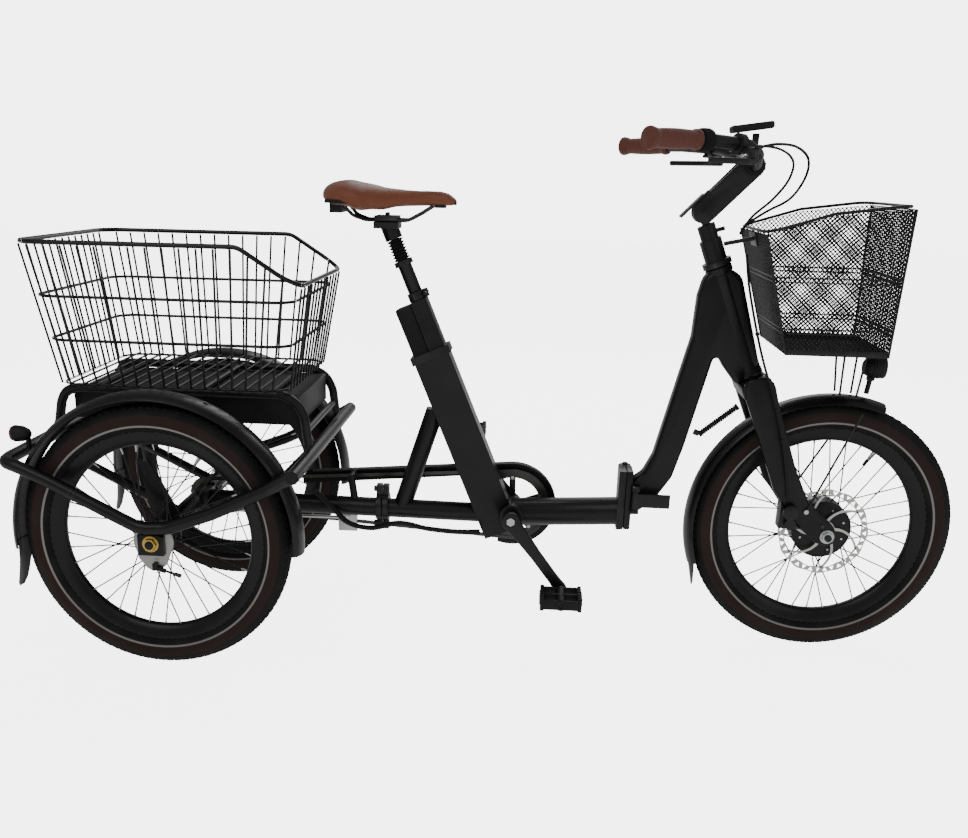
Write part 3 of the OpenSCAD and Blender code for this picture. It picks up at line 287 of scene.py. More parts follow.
def leatherFinish(name, colour, rough):
    # tan leather or grip rubber: small cells of grain, darker in the creases
    material = finish(name, colour, rough, grain=220, bump=0.2, cloud=0.22, sheen=0.15)
    tree = material.node_tree
    shader = tree.nodes["Principled BSDF"]
    where = [n for n in tree.nodes if n.type == "TEX_COORD"][0].outputs["Object"]
    cells = tree.nodes.new("ShaderNodeTexVoronoi")
    cells.feature = "DISTANCE_TO_EDGE"
    cells.inputs["Scale"].default_value = 420
    tree.links.new(where, cells.inputs["Vector"])
    edges = tree.nodes.new("ShaderNodeMapRange")
    edges.inputs["From Max"].default_value = 0.18
    tree.links.new(cells.outputs["Distance"], edges.inputs["Value"])
    relief = tree.nodes.new("ShaderNodeBump")
    relief.inputs["Strength"].default_value = 0.35
    relief.inputs["Distance"].default_value = 0.0005
    tree.links.new(edges.outputs["Result"], relief.inputs["Height"])
    old = shader.inputs["Normal"].links[0].from_socket
    tree.links.new(old, relief.inputs["Normal"])
    tree.links.new(relief.outputs["Normal"], shader.inputs["Normal"])
    return material


black = (0.004, 0.004, 0.0045)
finishes = {
    "framePaint": finish("framePaint", black, 0.4, coat=0.12, wear=0.12, dust=0.02, bump=0.03, shine=0.3),
    "fenderGloss": finish("fenderGloss", black, 0.34, coat=0.2, dust=0.03, bump=0.03, shine=0.3),
    "wirePaint": finish("wirePaint", (0.003, 0.003, 0.003), 0.36, coat=0.15, wear=0.1, bump=0.03, shine=0.3),
    "meshPaint": finish("meshPaint", (0.003, 0.003, 0.003), 0.5, bump=0.03, shine=0.25),
    "partsBlack": finish("partsBlack", (0.005, 0.005, 0.0055), 0.42, coat=0.1, wear=0.2, bump=0.06, shine=0.4),
    "plasticBlack": finish("plasticBlack", (0.007, 0.007, 0.0075), 0.55, grain=900, bump=0.25, shine=0.35),
    "caseBlack": finish("caseBlack", (0.005, 0.005, 0.0055), 0.5, grain=700, bump=0.2, dust=0.03, shine=0.3),
    "treadRubber": finish("treadRubber", (0.007, 0.0065, 0.0065), 0.78, grain=500, bump=0.3, dust=0.06, shine=0.3),
    "sidewallBrown": finish("sidewallBrown", (0.022, 0.009, 0.006), 0.7, grain=600, bump=0.3, cloud=0.2,
                            dust=0.04, shine=0.3),
    "reflectStripe": finish("reflectStripe", (0.26, 0.24, 0.23), 0.35, metal=0.3, bump=0.1),
    "softRubber": finish("softRubber", (0.008, 0.008, 0.008), 0.8, grain=600, bump=0.3, shine=0.3),
    "rimPaint": finish("rimPaint", black, 0.4, coat=0.1, bump=0.04, dust=0.03, shine=0.3),
    "spokeBlack": finish("spokeBlack", (0.006, 0.006, 0.006), 0.4, metal=0.0, shine=0.4),
    "nippleSteel": finish("nippleSteel", (0.62, 0.62, 0.6), 0.28, metal=1.0),
    "rotorSteel": finish("rotorSteel", (0.6, 0.58, 0.55), 0.32, metal=1.0, grain=900, bump=0.12),
    "plateSteel": finish("plateSteel", (0.4, 0.39, 0.38), 0.4, metal=1.0, grain=700, bump=0.15, dust=0.1),
    "brass": finish("brass", (0.62, 0.42, 0.12), 0.35, metal=1.0, bump=0.1),
    "bareAlloy": finish("bareAlloy", (0.6, 0.61, 0.62), 0.34, metal=1.0, bump=0.1),
    "chainSteel": finish("chainSteel", (0.1, 0.095, 0.09), 0.42, metal=1.0, cloud=0.3, bump=0.1),
    "darkSteel": finish("darkSteel", (0.03, 0.03, 0.031), 0.38, metal=1.0, wear=0.3, bump=0.08),
    "cableBlack": finish("cableBlack", (0.004, 0.004, 0.004), 0.5, grain=700, bump=0.1, shine=0.35),
    "tanLeather": leatherFinish("tanLeather", (0.22, 0.056, 0.018), 0.45),
    "tanGrip": leatherFinish("tanGrip", (0.14, 0.036, 0.018), 0.62),
    "redLens": finish("redLens", (0.12, 0.004, 0.003), 0.18, coat=0.6, grain=120, bump=0.2),
    "amberLens": finish("amberLens", (0.45, 0.09, 0.01), 0.2, coat=0.6, grain=120, bump=0.2),
    "clearLens": finish("clearLens", (0.5, 0.52, 0.54), 0.12, coat=0.8, grain=160, bump=0.2),
    "screenGlass": finish("screenGlass", (0.006, 0.007, 0.008), 0.1, coat=0.9, bump=0.01),
}
print("materials made")


def shade(mesh, angle):
    for face in mesh.polygons:
        face.use_smooth = True
    mesh.set_sharp_from_angle(angle=math.radians(angle))


def addPiece(name, bm, look, body, stands=(), angle=35, tidyNormals=True):
    # turns a bmesh into a piece on a body, standing for the named CAD nodes
    bmesh.ops.remove_doubles(bm, verts=bm.verts, dist=1e-6)
    if tidyNormals:
        bmesh.ops.recalc_face_normals(bm, faces=bm.faces)
    mesh = bpy.data.meshes.new(name)
    bm.to_mesh(mesh)
    bm.free()
    for key in [look] if isinstance(look, str) else look:
        mesh.materials.append(finishes[key])
    shade(mesh, angle)
    piece = bpy.data.objects.new(name, mesh)
    bpy.context.scene.collection.objects.link(piece)
    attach(piece, body)
    if stands:
        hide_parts(*stands)
    return piece


def dress(node, look, bevel=0.0):
    # gives a CAD node its material, welded so that it shades smoothly, with small rounded edges
    piece = nodes[node]
    piece.data.materials.clear()
    piece.data.materials.append(finishes[look])
    for face in piece.data.polygons:
        face.use_smooth = True
        face.material_index = 0
    weld = piece.modifiers.new("weld", "WELD")
    weld.merge_threshold = 1e-5
    if bevel:
        edge = piece.modifiers.new("edge", "BEVEL")
        edge.width = bevel * mm
        edge.segments = 2
        edge.limit_method = "ANGLE"
        edge.angle_limit = math.radians(50)
    split = piece.modifiers.new("split", "EDGE_SPLIT")
    split.split_angle = math.radians(38)
    return piece


def rounded(points, bend, steps=6, closed=False):
    # the path with an arc at each corner
    count = len(points)
    path = []
    for i, q in enumerate(points):
        if not closed and i in (0, count - 1):
            path.append(q)
            continue
        p, r = points[i - 1], points[(i + 1) % count]
        u, v = (q - p).normalized(), (r - q).normalized()
        turn = u.angle(v)
        if turn < 0.01:
            path.append(q)
            continue
        trim = min(bend * mm * math.tan(turn / 2), 0.48 * (q - p).length, 0.48 * (r - q).length)
        radius = trim / math.tan(turn / 2)
        w = (v - v.dot(u) * u).normalized()
        centre = q - trim * u + radius * w
        for k in range(steps + 1):
            a = turn * k / steps
            path.append(centre + radius * (math.sin(a) * u - math.cos(a) * w))
    return path


def flowing(points, steps=6):
    # a smooth curve through the points
    path = []
    last = len(points) - 1
    for i in range(last):
        a, b = points[max(0, i - 1)], points[i]
        c, d = points[i + 1], points[min(last, i + 2)]
        for k in range(steps):
            t = k / steps
            path.append(0.5 * (2 * b + (c - a) * t + (2 * a - 5 * b + 4 * c - d) * t * t
                               + (3 * b - a - 3 * c + d) * t ** 3))
    path.append(points[-1])
    return path


def tubeInto(bm, path, radius, sides=16, closed=False, slotIndex=0):
    # a round tube along a path, added to bm
    curve = bpy.data.curves.new("path", "CURVE")
    curve.dimensions = "3D"
    spline = curve.splines.new("POLY")
    spline.points.add(len(path) - 1)
    for point, place in zip(spline.points, path):
        point.co = (*place, 1)
    spline.use_cyclic_u = closed
    curve.bevel_depth = radius * mm
    curve.bevel_resolution = max(0, sides // 4 - 1)
    curve.use_fill_caps = True
    holder = bpy.data.objects.new("path", curve)
    bpy.context.scene.collection.objects.link(holder)
    mesh = bpy.data.meshes.new_from_object(holder.evaluated_get(bpy.context.evaluated_depsgraph_get()))
    before = len(bm.faces)
    bm.from_mesh(mesh)
    bm.faces.ensure_lookup_table()
    for face in bm.faces[before:]:
        face.material_index = slotIndex
    bpy.data.objects.remove(holder)
    bpy.data.curves.remove(curve)
    bpy.data.meshes.remove(mesh)


def rodInto(bm, start, end, radius, sides=24, slotIndex=0, tip=None):
    # a straight rod between two points, added to bm
    run = end - start
    turn = run.to_track_quat("Z", "Y").to_matrix().to_4x4()
    made = bmesh.ops.create_cone(bm, cap_ends=True, segments=sides, radius1=radius * mm,
                                 radius2=(radius if tip is None else tip) * mm, depth=run.length,
                                 matrix=Matrix.Translation((start + end) / 2) @ turn)
    for face in {f for v in made["verts"] for f in v.link_faces}:
        face.material_index = slotIndex
    return made["verts"]


def spinInto(bm, profile, centre, axis, steps=96, closedProfile=False, slots=None, angle=math.tau, start=0.0):
    # turns a profile of (radius, along) millimetre pairs about an axis through centre
    across = Vector((0, 0, 1)) if abs(axis.z) < 0.9 else Vector((1, 0, 0))
    out = Matrix.Rotation(start, 3, axis) @ (across - across.dot(axis) * axis).normalized()
    points = [bm.verts.new(centre + out * r * mm + axis * a * mm) for r, a in profile]
    pairs = list(zip(points, points[1:])) + ([(points[-1], points[0])] if closedProfile else [])
    edges = [bm.edges.new(pair) for pair in pairs]
    order = {}
    if slots:
        for edge, index in zip(edges, slots):
            order[edge] = index
    before = set(bm.faces)
    whole = abs(angle - math.tau) < 1e-6
    bmesh.ops.spin(bm, geom=points + edges, cent=centre, axis=axis, dvec=(0, 0, 0), angle=angle,
                   steps=steps, use_merge=whole, use_duplicate=False)
    made = [f for f in bm.faces if f not in before]
    if slots:
        mids = [((r1 + r2) / 2, (a1 + a2) / 2, s) for (r1, a1), (r2, a2), s in
                zip(profile, profile[1:] + profile[:1], slots)]
        for face in made:
            rel = face.calc_center_median() - centre
            along = rel.dot(axis) / mm
            radius = (rel - rel.dot(axis) * axis).length / mm
            face.material_index = min(mids, key=lambda m: (m[0] - radius) ** 2 + (m[1] - along) ** 2)[2]
    return made


def boxInto(bm, centre, size, turn=None, slotIndex=0, bevel=0.0):
    # a box with rounded edges, size in millimetres, added to bm
    place = Matrix.Translation(centre) @ (turn.to_4x4() if turn else Matrix.Identity(4))
    made = bmesh.ops.create_cube(bm, size=1, matrix=place @ Matrix.Diagonal((*(s * mm for s in size), 1)))
    for face in {f for v in made["verts"] for f in v.link_faces}:
        face.material_index = slotIndex
    if bevel:
        edges = list({e for v in made["verts"] for e in v.link_edges})
        bmesh.ops.bevel(bm, geom=edges, offset=bevel * mm, affect="EDGES", segments=3, profile=0.5,
                        material=-1)
    return made["verts"]


def plateInto(bm, outline, y, thick, bevel=0.0, slotIndex=0, segments=4):
    # a plate in the XZ plane with the outline's points, its near face at y, with rounded edges
    verts = [bm.verts.new(Vector((p.x, y * mm, p.z))) for p in outline]
    face = bm.faces.new(verts)
    face.material_index = slotIndex
    made = bmesh.ops.extrude_face_region(bm, geom=[face])
    moved = [g for g in made["geom"] if isinstance(g, bmesh.types.BMVert)]
    bmesh.ops.translate(bm, verts=moved, vec=(0, thick * mm, 0))
    if bevel:
        rims = [e for e in {e for v in verts + moved for e in v.link_edges}
                if abs(e.verts[0].co.y - e.verts[1].co.y) < 1e-6]
        bmesh.ops.bevel(bm, geom=rims, offset=bevel * mm, affect="EDGES", segments=segments, profile=0.5,
                        material=-1)


def mirrored(points):
    return [Vector((p.x, -p.y, p.z)) for p in points]


acrossAxis = Vector((0, 1, 0))

tyre = {"radius": 261, "width": 57, "tread": 1.4, "steps": 200, "stripe": (219.6, 223.4), "brown": 243}
rim = {"inner": 182, "outer": 214, "halfWidth": 17}
spokes = {"count": 36, "radius": 1.35, "nipple": 2.0, "nippleLength": 13}


def makeTyre(name, node, body):
    bm = bmesh.new()
    half = tyre["width"] / 2
    ring = tyre["radius"] - half
    crown = tyre["radius"] - tyre["tread"]
    side = [(209, 14.5), (212, 20), (216, 24), (tyre["stripe"][0], 26), (tyre["stripe"][1], 27.2),
            (ring, 28.3), (237, 28.2), (tyre["brown"], 26.2), (249, 22.6), (254, 17.5),
            (crown - 2.2, 12.5), (crown - 0.6, 6.5)]
    slots = [0, 0, 0, 2, 1, 1, 1, 0, 0, 0, 0, 0]
    profile = side + [(crown, 0)] + [(r, -a) for r, a in reversed(side)]
    kinds = slots + slots[::-1] + [0]
    made = spinInto(bm, profile, middle(node), acrossAxis, tyre["steps"], True, kinds)
    centre = middle(node)
    blocks = []
    for face in made:
        rel = face.calc_center_median() - centre
        along = abs(rel.y) / mm
        turn = math.atan2(rel.z, rel.x) / math.tau * tyre["steps"]
        band = 0 if along < 6.5 else 1 if along < 12.5 else 2 if along < 17.5 else 3
        if band < 3 and (int(turn + 1000.5) + band) % 2 == 0:
            blocks.append(face)
    bmesh.ops.inset_individual(bm, faces=blocks, thickness=0.9 * mm, depth=tyre["tread"] * mm, use_even_offset=True)
    piece = addPiece(name, bm, ["treadRubber", "sidewallBrown", "reflectStripe"], body, [node],
                     angle=40)
    return piece


def makeRim(name, node, body):
    bm = bmesh.new()
    half = rim["halfWidth"]
    side = [(rim["inner"], 0), (rim["inner"] + 0.6, 4.5), (rim["inner"] + 4, 9), (196, 13.5), (206, half - 0.6),
            (211, half), (rim["outer"] - 0.5, half - 0.4), (rim["outer"], half - 1.8), (210, half - 3.5),
            (205, 10), (203, 0)]
    profile = side + [(r, -a) for r, a in reversed(side[1:-1])]
    spinInto(bm, profile, middle(node), acrossAxis, 144, True)
    # valve and magnet
    foot = middle(node) + Vector((math.sin(0.5), 0, math.cos(0.5))) * rim["inner"] * mm
    inward = (middle(node) - foot).normalized()
    rodInto(bm, foot - inward * 2 * mm, foot + inward * 22 * mm, 2.6, 12, 1)
    rodInto(bm, foot + inward * 18 * mm, foot + inward * 32 * mm, 3.4, 12, 0)
    return addPiece(name, bm, ["rimPaint", "nippleSteel"], body, [node], angle=45)


def spokesInto(bm, centre, flange, flangeY, lead):
    count = spokes["count"]
    for i in range(count):
        side = 1 if i % 2 else -1
        hand = 1 if (i // 2) % 2 else -1
        rimAngle = math.tau * i / count
        hubAngle = rimAngle + hand * math.radians(lead)
        y = side * (flangeY - (0 if hand > 0 else 4))
        foot = centre + Vector((math.cos(hubAngle) * flange, y, math.sin(hubAngle) * flange)) * mm
        tip = centre + Vector((math.cos(rimAngle) * rim["inner"], side * 2.0, math.sin(rimAngle) * rim["inner"])) * mm
        back = (foot - tip).normalized()
        rodInto(bm, foot, tip, spokes["radius"], 8)
        rodInto(bm, tip - back * 0.5 * mm, tip + back * spokes["nippleLength"] * mm, spokes["nipple"], 8, 1,
                tip=1.3)
        rodInto(bm, foot - back * 1 * mm, foot + back * 0.6 * mm - back * 2.2 * mm, 2.0, 8, 1)


def makeRearHub(name, node, body):
    bm = bmesh.new()
    centre = middle(node)
    half = 26
    side = [(14, 0), (14, half - 10), (19, half - 6), (26, half - 3.4), (27, half - 2.2), (27, half - 0.4),
            (25.6, half), (17, half + 0.4), (16, half + 1.6), (9, half + 1.8), (8.1, half + 1.8)]
    full = side[::-1] + [(r, -a) for r, a in side[1:]]
    spinInto(bm, full, centre, acrossAxis, 64, True)
    spokesInto(bm, centre, 25, half - 1.4, 55)
    return addPiece(name, bm, ["spokeBlack", "nippleSteel"], body, [node])


rotor = {"outer": 90, "inner": 75, "thick": 1.8, "holes": 36, "arms": 6, "hub": 24, "y": -38}


def arcPoint(centre, radius, angle, y):
    return centre + Vector((math.cos(angle) * radius, y, math.sin(angle) * radius)) * mm


def makeRotor(name, node, body):
    centre = middle(node)
    centre.y = 0
    y = rotor["y"]
    ring = bmesh.new()
    steps = 180
    loops = []
    for radius, wave in ((rotor["outer"] - 1.3, 1.3), (rotor["inner"] + 1, -1.0)):
        for depth in (0, rotor["thick"]):
            loops.append([ring.verts.new(arcPoint(centre, radius + wave * math.cos(i / steps * math.tau * 12),
                          math.tau * i / steps, y - depth)) for i in range(steps)])
    for first, second in ((0, 1), (1, 3), (3, 2), (2, 0)):
        for i in range(steps):
            j = (i + 1) % steps
            ring.faces.new((loops[first][i], loops[first][j], loops[second][j], loops[second][i]))
    bmesh.ops.recalc_face_normals(ring, faces=ring.faces)
    cutter = bmesh.new()
    for i in range(rotor["holes"]):
        a = math.tau * i / rotor["holes"]
        wide, slim = math.radians(3.6), math.radians(0.5)
        near, far = (78.4, 86.4) if i % 2 else (86.4, 78.4)
        corners = [(near, a - wide), (near, a + wide), (far, a + slim), (far, a - slim)]
        front = [cutter.verts.new(arcPoint(centre, r, t, y + 2)) for r, t in corners]
        back = [cutter.verts.new(arcPoint(centre, r, t, y - rotor["thick"] - 2)) for r, t in corners]
        cutter.faces.new(front)
        cutter.faces.new(back[::-1])
        for k in range(4):
            cutter.faces.new((front[k], back[k], back[(k + 1) % 4], front[(k + 1) % 4]))
    bmesh.ops.recalc_face_normals(cutter, faces=cutter.faces)
    holder = []
    for label, part in (("rotorRing", ring), ("rotorCut", cutter)):
        mesh = bpy.data.meshes.new(label)
        part.to_mesh(mesh)
        part.free()
        made = bpy.data.objects.new(label, mesh)
        bpy.context.scene.collection.objects.link(made)
        holder.append(made)
    cut = holder[0].modifiers.new("cut", "BOOLEAN")
    cut.object = holder[1]
    cut.solver = "EXACT"
    mesh = bpy.data.meshes.new_from_object(holder[0].evaluated_get(bpy.context.evaluated_depsgraph_get()))
    bm = bmesh.new()
    bm.from_mesh(mesh)
    for made in holder:
        bpy.data.objects.remove(made)
    # swept arms from the hub to the ring
    for i in range(rotor["arms"]):
        a = math.tau * i / rotor["arms"] + 0.3
        inner, outer = [], []
        for k in range(9):
            t = k / 8
            r = 18 + (rotor["inner"] + 3 - 18) * t
            sweep = a - 0.75 * t ** 1.2
            half = (3.6 - 1.0 * math.sin(t * math.pi)) / r
            inner.append((r, sweep - half))
            outer.append((r, sweep + half))
        outline = inner + outer[::-1]
        front = [bm.verts.new(arcPoint(centre, r, t, y)) for r, t in outline]
        back = [bm.verts.new(arcPoint(centre, r, t, y - rotor["thick"])) for r, t in outline]
        count = len(outline)
        bm.faces.new(front)
        bm.faces.new(back[::-1])
        for k in range(count):
            bm.faces.new((front[k], back[k], back[(k + 1) % count], front[(k + 1) % count]))
    hub = rotor["hub"]
    spinInto(bm, [(15, y), (hub, y), (hub, y - 2.2), (15, y - 2.2)], centre, acrossAxis, 48, True)
    for i in range(6):
        bolt = arcPoint(centre, 19.5, math.tau * i / 6, y - 2.2)
        rodInto(bm, bolt, bolt - acrossAxis * 1.6 * mm, 2.6, 6)
    return addPiece(name, bm, "rotorSteel", body, (), angle=30)


def makeMotor(name, node, body):
    bm = bmesh.new()
    centre = middle(node)
    centre.y = 0
    side = [(59, 0), (59, 19), (57.5, 21), (59.5, 22), (59.5, 25), (57, 26.5), (50, 28.6), (38, 30), (24, 30.4),
            (22, 31.5), (21.5, 36), (7.2, 36)]
    full = side[::-1] + [(r, -a) for r, a in side[1:]]
    spinInto(bm, full, centre, acrossAxis, 96, True)
    for i in range(8):
        for hand in (-1, 1):
            bolt = arcPoint(centre, 45, math.tau * (i + 0.5) / 8, hand * 28.6)
            rodInto(bm, bolt, bolt + acrossAxis * hand * 1.6 * mm, 2.2, 12, 1)
    spokesInto(bm, centre, 58, 23.5, 20)
    return addPiece(name, bm, ["spokeBlack", "nippleSteel"], body, [node])


for side, body in (("left", "axle_and_left_wheel"), ("right", "right_wheel")):
    makeTyre(f"rearTyre_{side}", f"rear_tyre_{side}", body)
    makeRim(f"rearRim_{side}", f"rear_rim_{side}", body)
    makeRearHub(f"rearHub_{side}", f"rear_spokes_{side}", body)
makeTyre("frontTyre", "front_tyre", "front_wheel")
makeRim("frontRim", "front_rim", "front_wheel")
makeMotor("frontMotor", "front_spokes", "front_wheel")
makeRotor("frontRotor", "front_tyre", "front_wheel")
print("wheels")

for node, look, edge in (
        ("rear_beam", "framePaint", 0.6), ("seat_tube", "framePaint", 2.2), ("battery_pack", "caseBlack", 3),
        ("beam_coupling", "partsBlack", 0.8), ("axle_housing", "framePaint", 0.8), ("axle_nuts", "brass", 0.5),
        ("chain_guard", "plasticBlack", 0.6), ("chain_tensioner", "bareAlloy", 0.8),
        ("seat_clamp", "partsBlack", 0.6), ("seatpost", "partsBlack", 0.5), ("saddle_clamp", "darkSteel", 0.8),
        ("saddle_base", "plasticBlack", 2), ("hinge_latch", "partsBlack", 0.8), ("brake_caliper", "partsBlack", 1.5),
        ("basket_bracket", "partsBlack", 0.5), ("stem_post", "partsBlack", 0.8), ("stem_latch", "partsBlack", 1.2),
        ("axle_shaft", "darkSteel", 0.4), ("rear_basket", "wirePaint", 0), ("controller_case", "caseBlack", 3)):
    dress(node, look, edge)

# the wires are coated, which adds a little to the steel
coating = nodes["rear_basket"].modifiers.new("coating", "DISPLACE")
coating.strength = 0.45 * mm
coating.mid_level = 0

bumper = {
    "radius": 12.5, "bend": 70,
    "side": [(276, -305, 405), (226, -305, 376), (120, -305, 326), (34, -305, 294), (-18, -305, 291),
             (-62, -305, 313), (-186, -305, 376), (-247, -305, 403), (-272, -298, 408), (-276, -270, 409)],
    "cross": [(278, -317, 405), (278, 317, 405)],
    "carriers": [((274, 0, 403), (150, 0, 275), 11), ((-258, -120, 397), (-12, -120, 273), 10),
                 ((-258, 120, 397), (-12, 120, 273), 10)],
}


def makeBumper():
    bm = bmesh.new()
    side = [spot(*p) for p in bumper["side"]]
    tubeInto(bm, rounded(side + mirrored(side)[::-1], bumper["bend"]), bumper["radius"], 24)
    a, b = (spot(*p) for p in bumper["cross"])
    rodInto(bm, a, b, bumper["radius"] + 0.3, 32)
    for start, end, radius in bumper["carriers"]:
        rodInto(bm, spot(*start), spot(*end), radius, 24)
    # joint sleeves half way down the rear runs, and plugs in the open ends
    for hand in (-1, 1):
        for share in (0.66, 0.6):
            p = spot(-62, hand * 305, 313).lerp(spot(-186, hand * 305, 376), share)
            q = p + (spot(-186, hand * 305, 376) - p).normalized() * 5 * mm
            rodInto(bm, p, q, bumper["radius"] + 0.5, 32)
        end = spot(278, hand * 317, 405)
        rodInto(bm, end - Vector((0, hand * 1, 0)) * mm, end + Vector((0, hand * 0.8, 0)) * mm, 11.5, 32, 1)
    addPiece("bumperLoop", bm, ["framePaint", "plasticBlack"], "rear_frame", ["bumper_frame"])


rack = {
    "radius": 9.5, "bend": 45,
    "hoop": [(-260, -150, 415), (-226, -150, 446), (-216, -150, 496), (-206, -150, 516), (-184, -150, 524),
             (224, -150, 524), (254, -150, 510), (268, -150, 480), (274, -150, 428)],
    "bars": [-150, 60, 200],
}


def makeRack():
    bm = bmesh.new()
    hoop = [spot(*p) for p in rack["hoop"]]
    for path in (hoop, mirrored(hoop)):
        tubeInto(bm, rounded(path, rack["bend"]), rack["radius"], 20)
    for x in rack["bars"]:
        rodInto(bm, spot(x, -150, 523), spot(x, 150, 523), 6, 16)
    rodInto(bm, spot(269, -150, 452), spot(269, 150, 452), 7, 16)
    addPiece("rackHoops", bm, "framePaint", "rear_frame", ["rack_frame"])


def makeTailLights():
    low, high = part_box("tail_lights")
    bm = bmesh.new()
    for hand in (-1, 1):
        face = spot(-278, hand * 250, 452)
        ahead = Vector((1, 0, 0))
        spinInto(bm, [(0.01, 0), (9, 0.6), (13.4, 3.2), (15, 7), (15, 10), (0.01, 10)], face, ahead, 40)
        spinInto(bm, [(0.01, 8), (15.6, 8), (16, 11), (14.5, 26), (10, 36), (5, 40), (0.01, 41)], face, ahead, 40,
                 slots=[1] * 6)
        rodInto(bm, spot(-244, hand * 250, 424), spot(-244, hand * 250, 446), 5, 16, 1)
    for vert in bm.verts:
        vert.co.x = min(max(vert.co.x, low.x), high.x + 3 * mm)
    addPiece("tailLights", bm, ["redLens", "plasticBlack"], "rear_frame", ["tail_lights"])


brakes = {"y": -287, "radius": 39}


def makeBrakePlates():
    bm = bmesh.new()
    for hand in (-1, 1):
        centre = Vector((rearAxle.x, hand * brakes["y"] * mm * -1, rearAxle.z))
        out = acrossAxis * hand
        spinInto(bm, [(9, 0.3), (39, 0.3), (39, 2.6), (36, 4.4), (9, 4.6)], centre, out, 64, True)
        # swept shoe anchor under the disc
        outline = [spot(-34, 0, 243), spot(-30, 0, 226), spot(-16, 0, 208), spot(-4, 0, 201), spot(10, 0, 203),
                   spot(24, 0, 216), spot(36, 0, 246)]
        plateInto(bm, outline, hand * 291.4 if hand < 0 else 287.4, 4, bevel=0.8)
        rodInto(bm, spot(4, hand * 296, 210), spot(50, hand * 296, 196), 2.4, 12, 1)
        rodInto(bm, spot(6, hand * 296, 209), spot(22, hand * 296, 204), 4.6, 12, 1)
        rodInto(bm, spot(40, hand * 296, 199), spot(52, hand * 296, 195.2), 4, 12, 2)
        boxInto(bm, spot(2, hand * 296, 212), (10, 5, 14), slotIndex=2, bevel=1)
    addPiece("brakePlates", bm, ["plateSteel", "cableBlack", "darkSteel"], "rear_frame", ["brake_plates"])


fenders = {"reach": 285, "halfWidth": 33.6, "crown": 62, "wall": 2, "from": -4, "to": 186}
frontFender = {"reach": 276, "halfWidth": 33, "crown": 50, "wall": 2, "from": 70, "to": 199}


def fenderInto(bm, centre, facts):
    # a crowned fender turned about the axle, from one angle to another measured from ahead upwards
    profile = []
    crown, half = facts["crown"], facts["halfWidth"]
    swing = math.asin(min(1, half / crown))
    for wall, order in ((0, 1), (facts["wall"], -1)):
        row = []
        for k in range(13):
            a = -swing + 2 * swing * k / 12
            reach = facts["reach"] - crown + (crown - wall) * math.cos(a)
            row.append((reach, (crown - wall) * math.sin(a)))
        # rolled lips
        row[0] = (row[0][0] - 3, row[0][1])
        row[-1] = (row[-1][0] - 3, row[-1][1])
        profile += row[::order]
    begin = math.radians(90 - facts["to"])
    sweep = math.radians(facts["to"] - facts["from"])
    spinInto(bm, profile, centre, acrossAxis, 90, True, angle=sweep, start=begin)
    ends = [e for e in bm.edges if e.is_boundary]
    if ends:
        bmesh.ops.contextual_create(bm, geom=ends)
        bmesh.ops.holes_fill(bm, edges=[e for e in bm.edges if e.is_boundary])


def flapInto(bm, centre, reach, angle, length, wide, slim, lean):
    # a flexible mud flap that hangs from the fender's lower end, narrowing to a round tip
    a = math.radians(angle)
    out = Vector((math.cos(a), 0, math.sin(a)))
    down = Vector((-math.sin(a), 0, math.cos(a)))
    top = centre + out * reach * mm
    rows = []
    for k in range(9):
        t = k / 8
        drop = t * length
        flare = lean * t ** 1.6
        half = (wide + (slim - wide) * t) / 2 * (1 if t < 0.85 else 1 - ((t - 0.85) / 0.15) ** 2 * 0.55)
        middlePoint = top + down * drop * mm + out * flare * mm
        row = []
        hollow = 2 + 11 * (1 - t)
        for m in range(5):
            s = -1 + m / 2
            row.append(bm.verts.new(middlePoint + acrossAxis * half * s * mm - out * s ** 2 * hollow * mm))
        rows.append(row)
    faces = []
    for first, second in zip(rows, rows[1:]):
        for m in range(4):
            faces.append(bm.faces.new((first[m], first[m + 1], second[m + 1], second[m])))
    bmesh.ops.solidify(bm, geom=faces, thickness=2.4 * mm)


def makeFenders():
    for label, hand in (("left", 1), ("right", -1)):
        bm = bmesh.new()
        centre = Vector((rearAxle.x, middle(f"rear_tyre_{label}").y, rearAxle.z))
        fenderInto(bm, centre, fenders)
        flapInto(bm, centre, fenders["reach"] - 3, 184, 96, 62, 40, 14)
        stay = hand * (257 - 36)
        rodInto(bm, spot(-30, stay, 400), spot(-40, stay, 520), 3, 12, 1)
        for x, z in ((-120, 500), (100, 508)):
            bolt = spot(x, hand * 257, z)
            away = (bolt - centre).normalized()
            seat = centre + away * (fenders["reach"] - 0.6) * mm
            rodInto(bm, seat, seat + away * 2.2 * mm, 4.4, 16, 1)
        addPiece(f"rearFender_{label}", bm, ["fenderGloss", "darkSteel"], "rear_frame", [f"rear_fender_{label}"],
                 angle=50)
    bm = bmesh.new()
    fenderInto(bm, frontAxle, frontFender)
    flapInto(bm, frontAxle, frontFender["reach"] - 2, 197, 62, 46, 30, 5)
    addPiece("frontFender", bm, "fenderGloss", "fork", ["front_fender"], angle=50)


makeBumper()
makeRack()
makeTailLights()
makeBrakePlates()
makeFenders()
print("rear frame")

drive = {"chainY": 52, "front": (675, 263, 75), "back": (0, 261, 30), "pitch": 12.7, "teeth": 38}


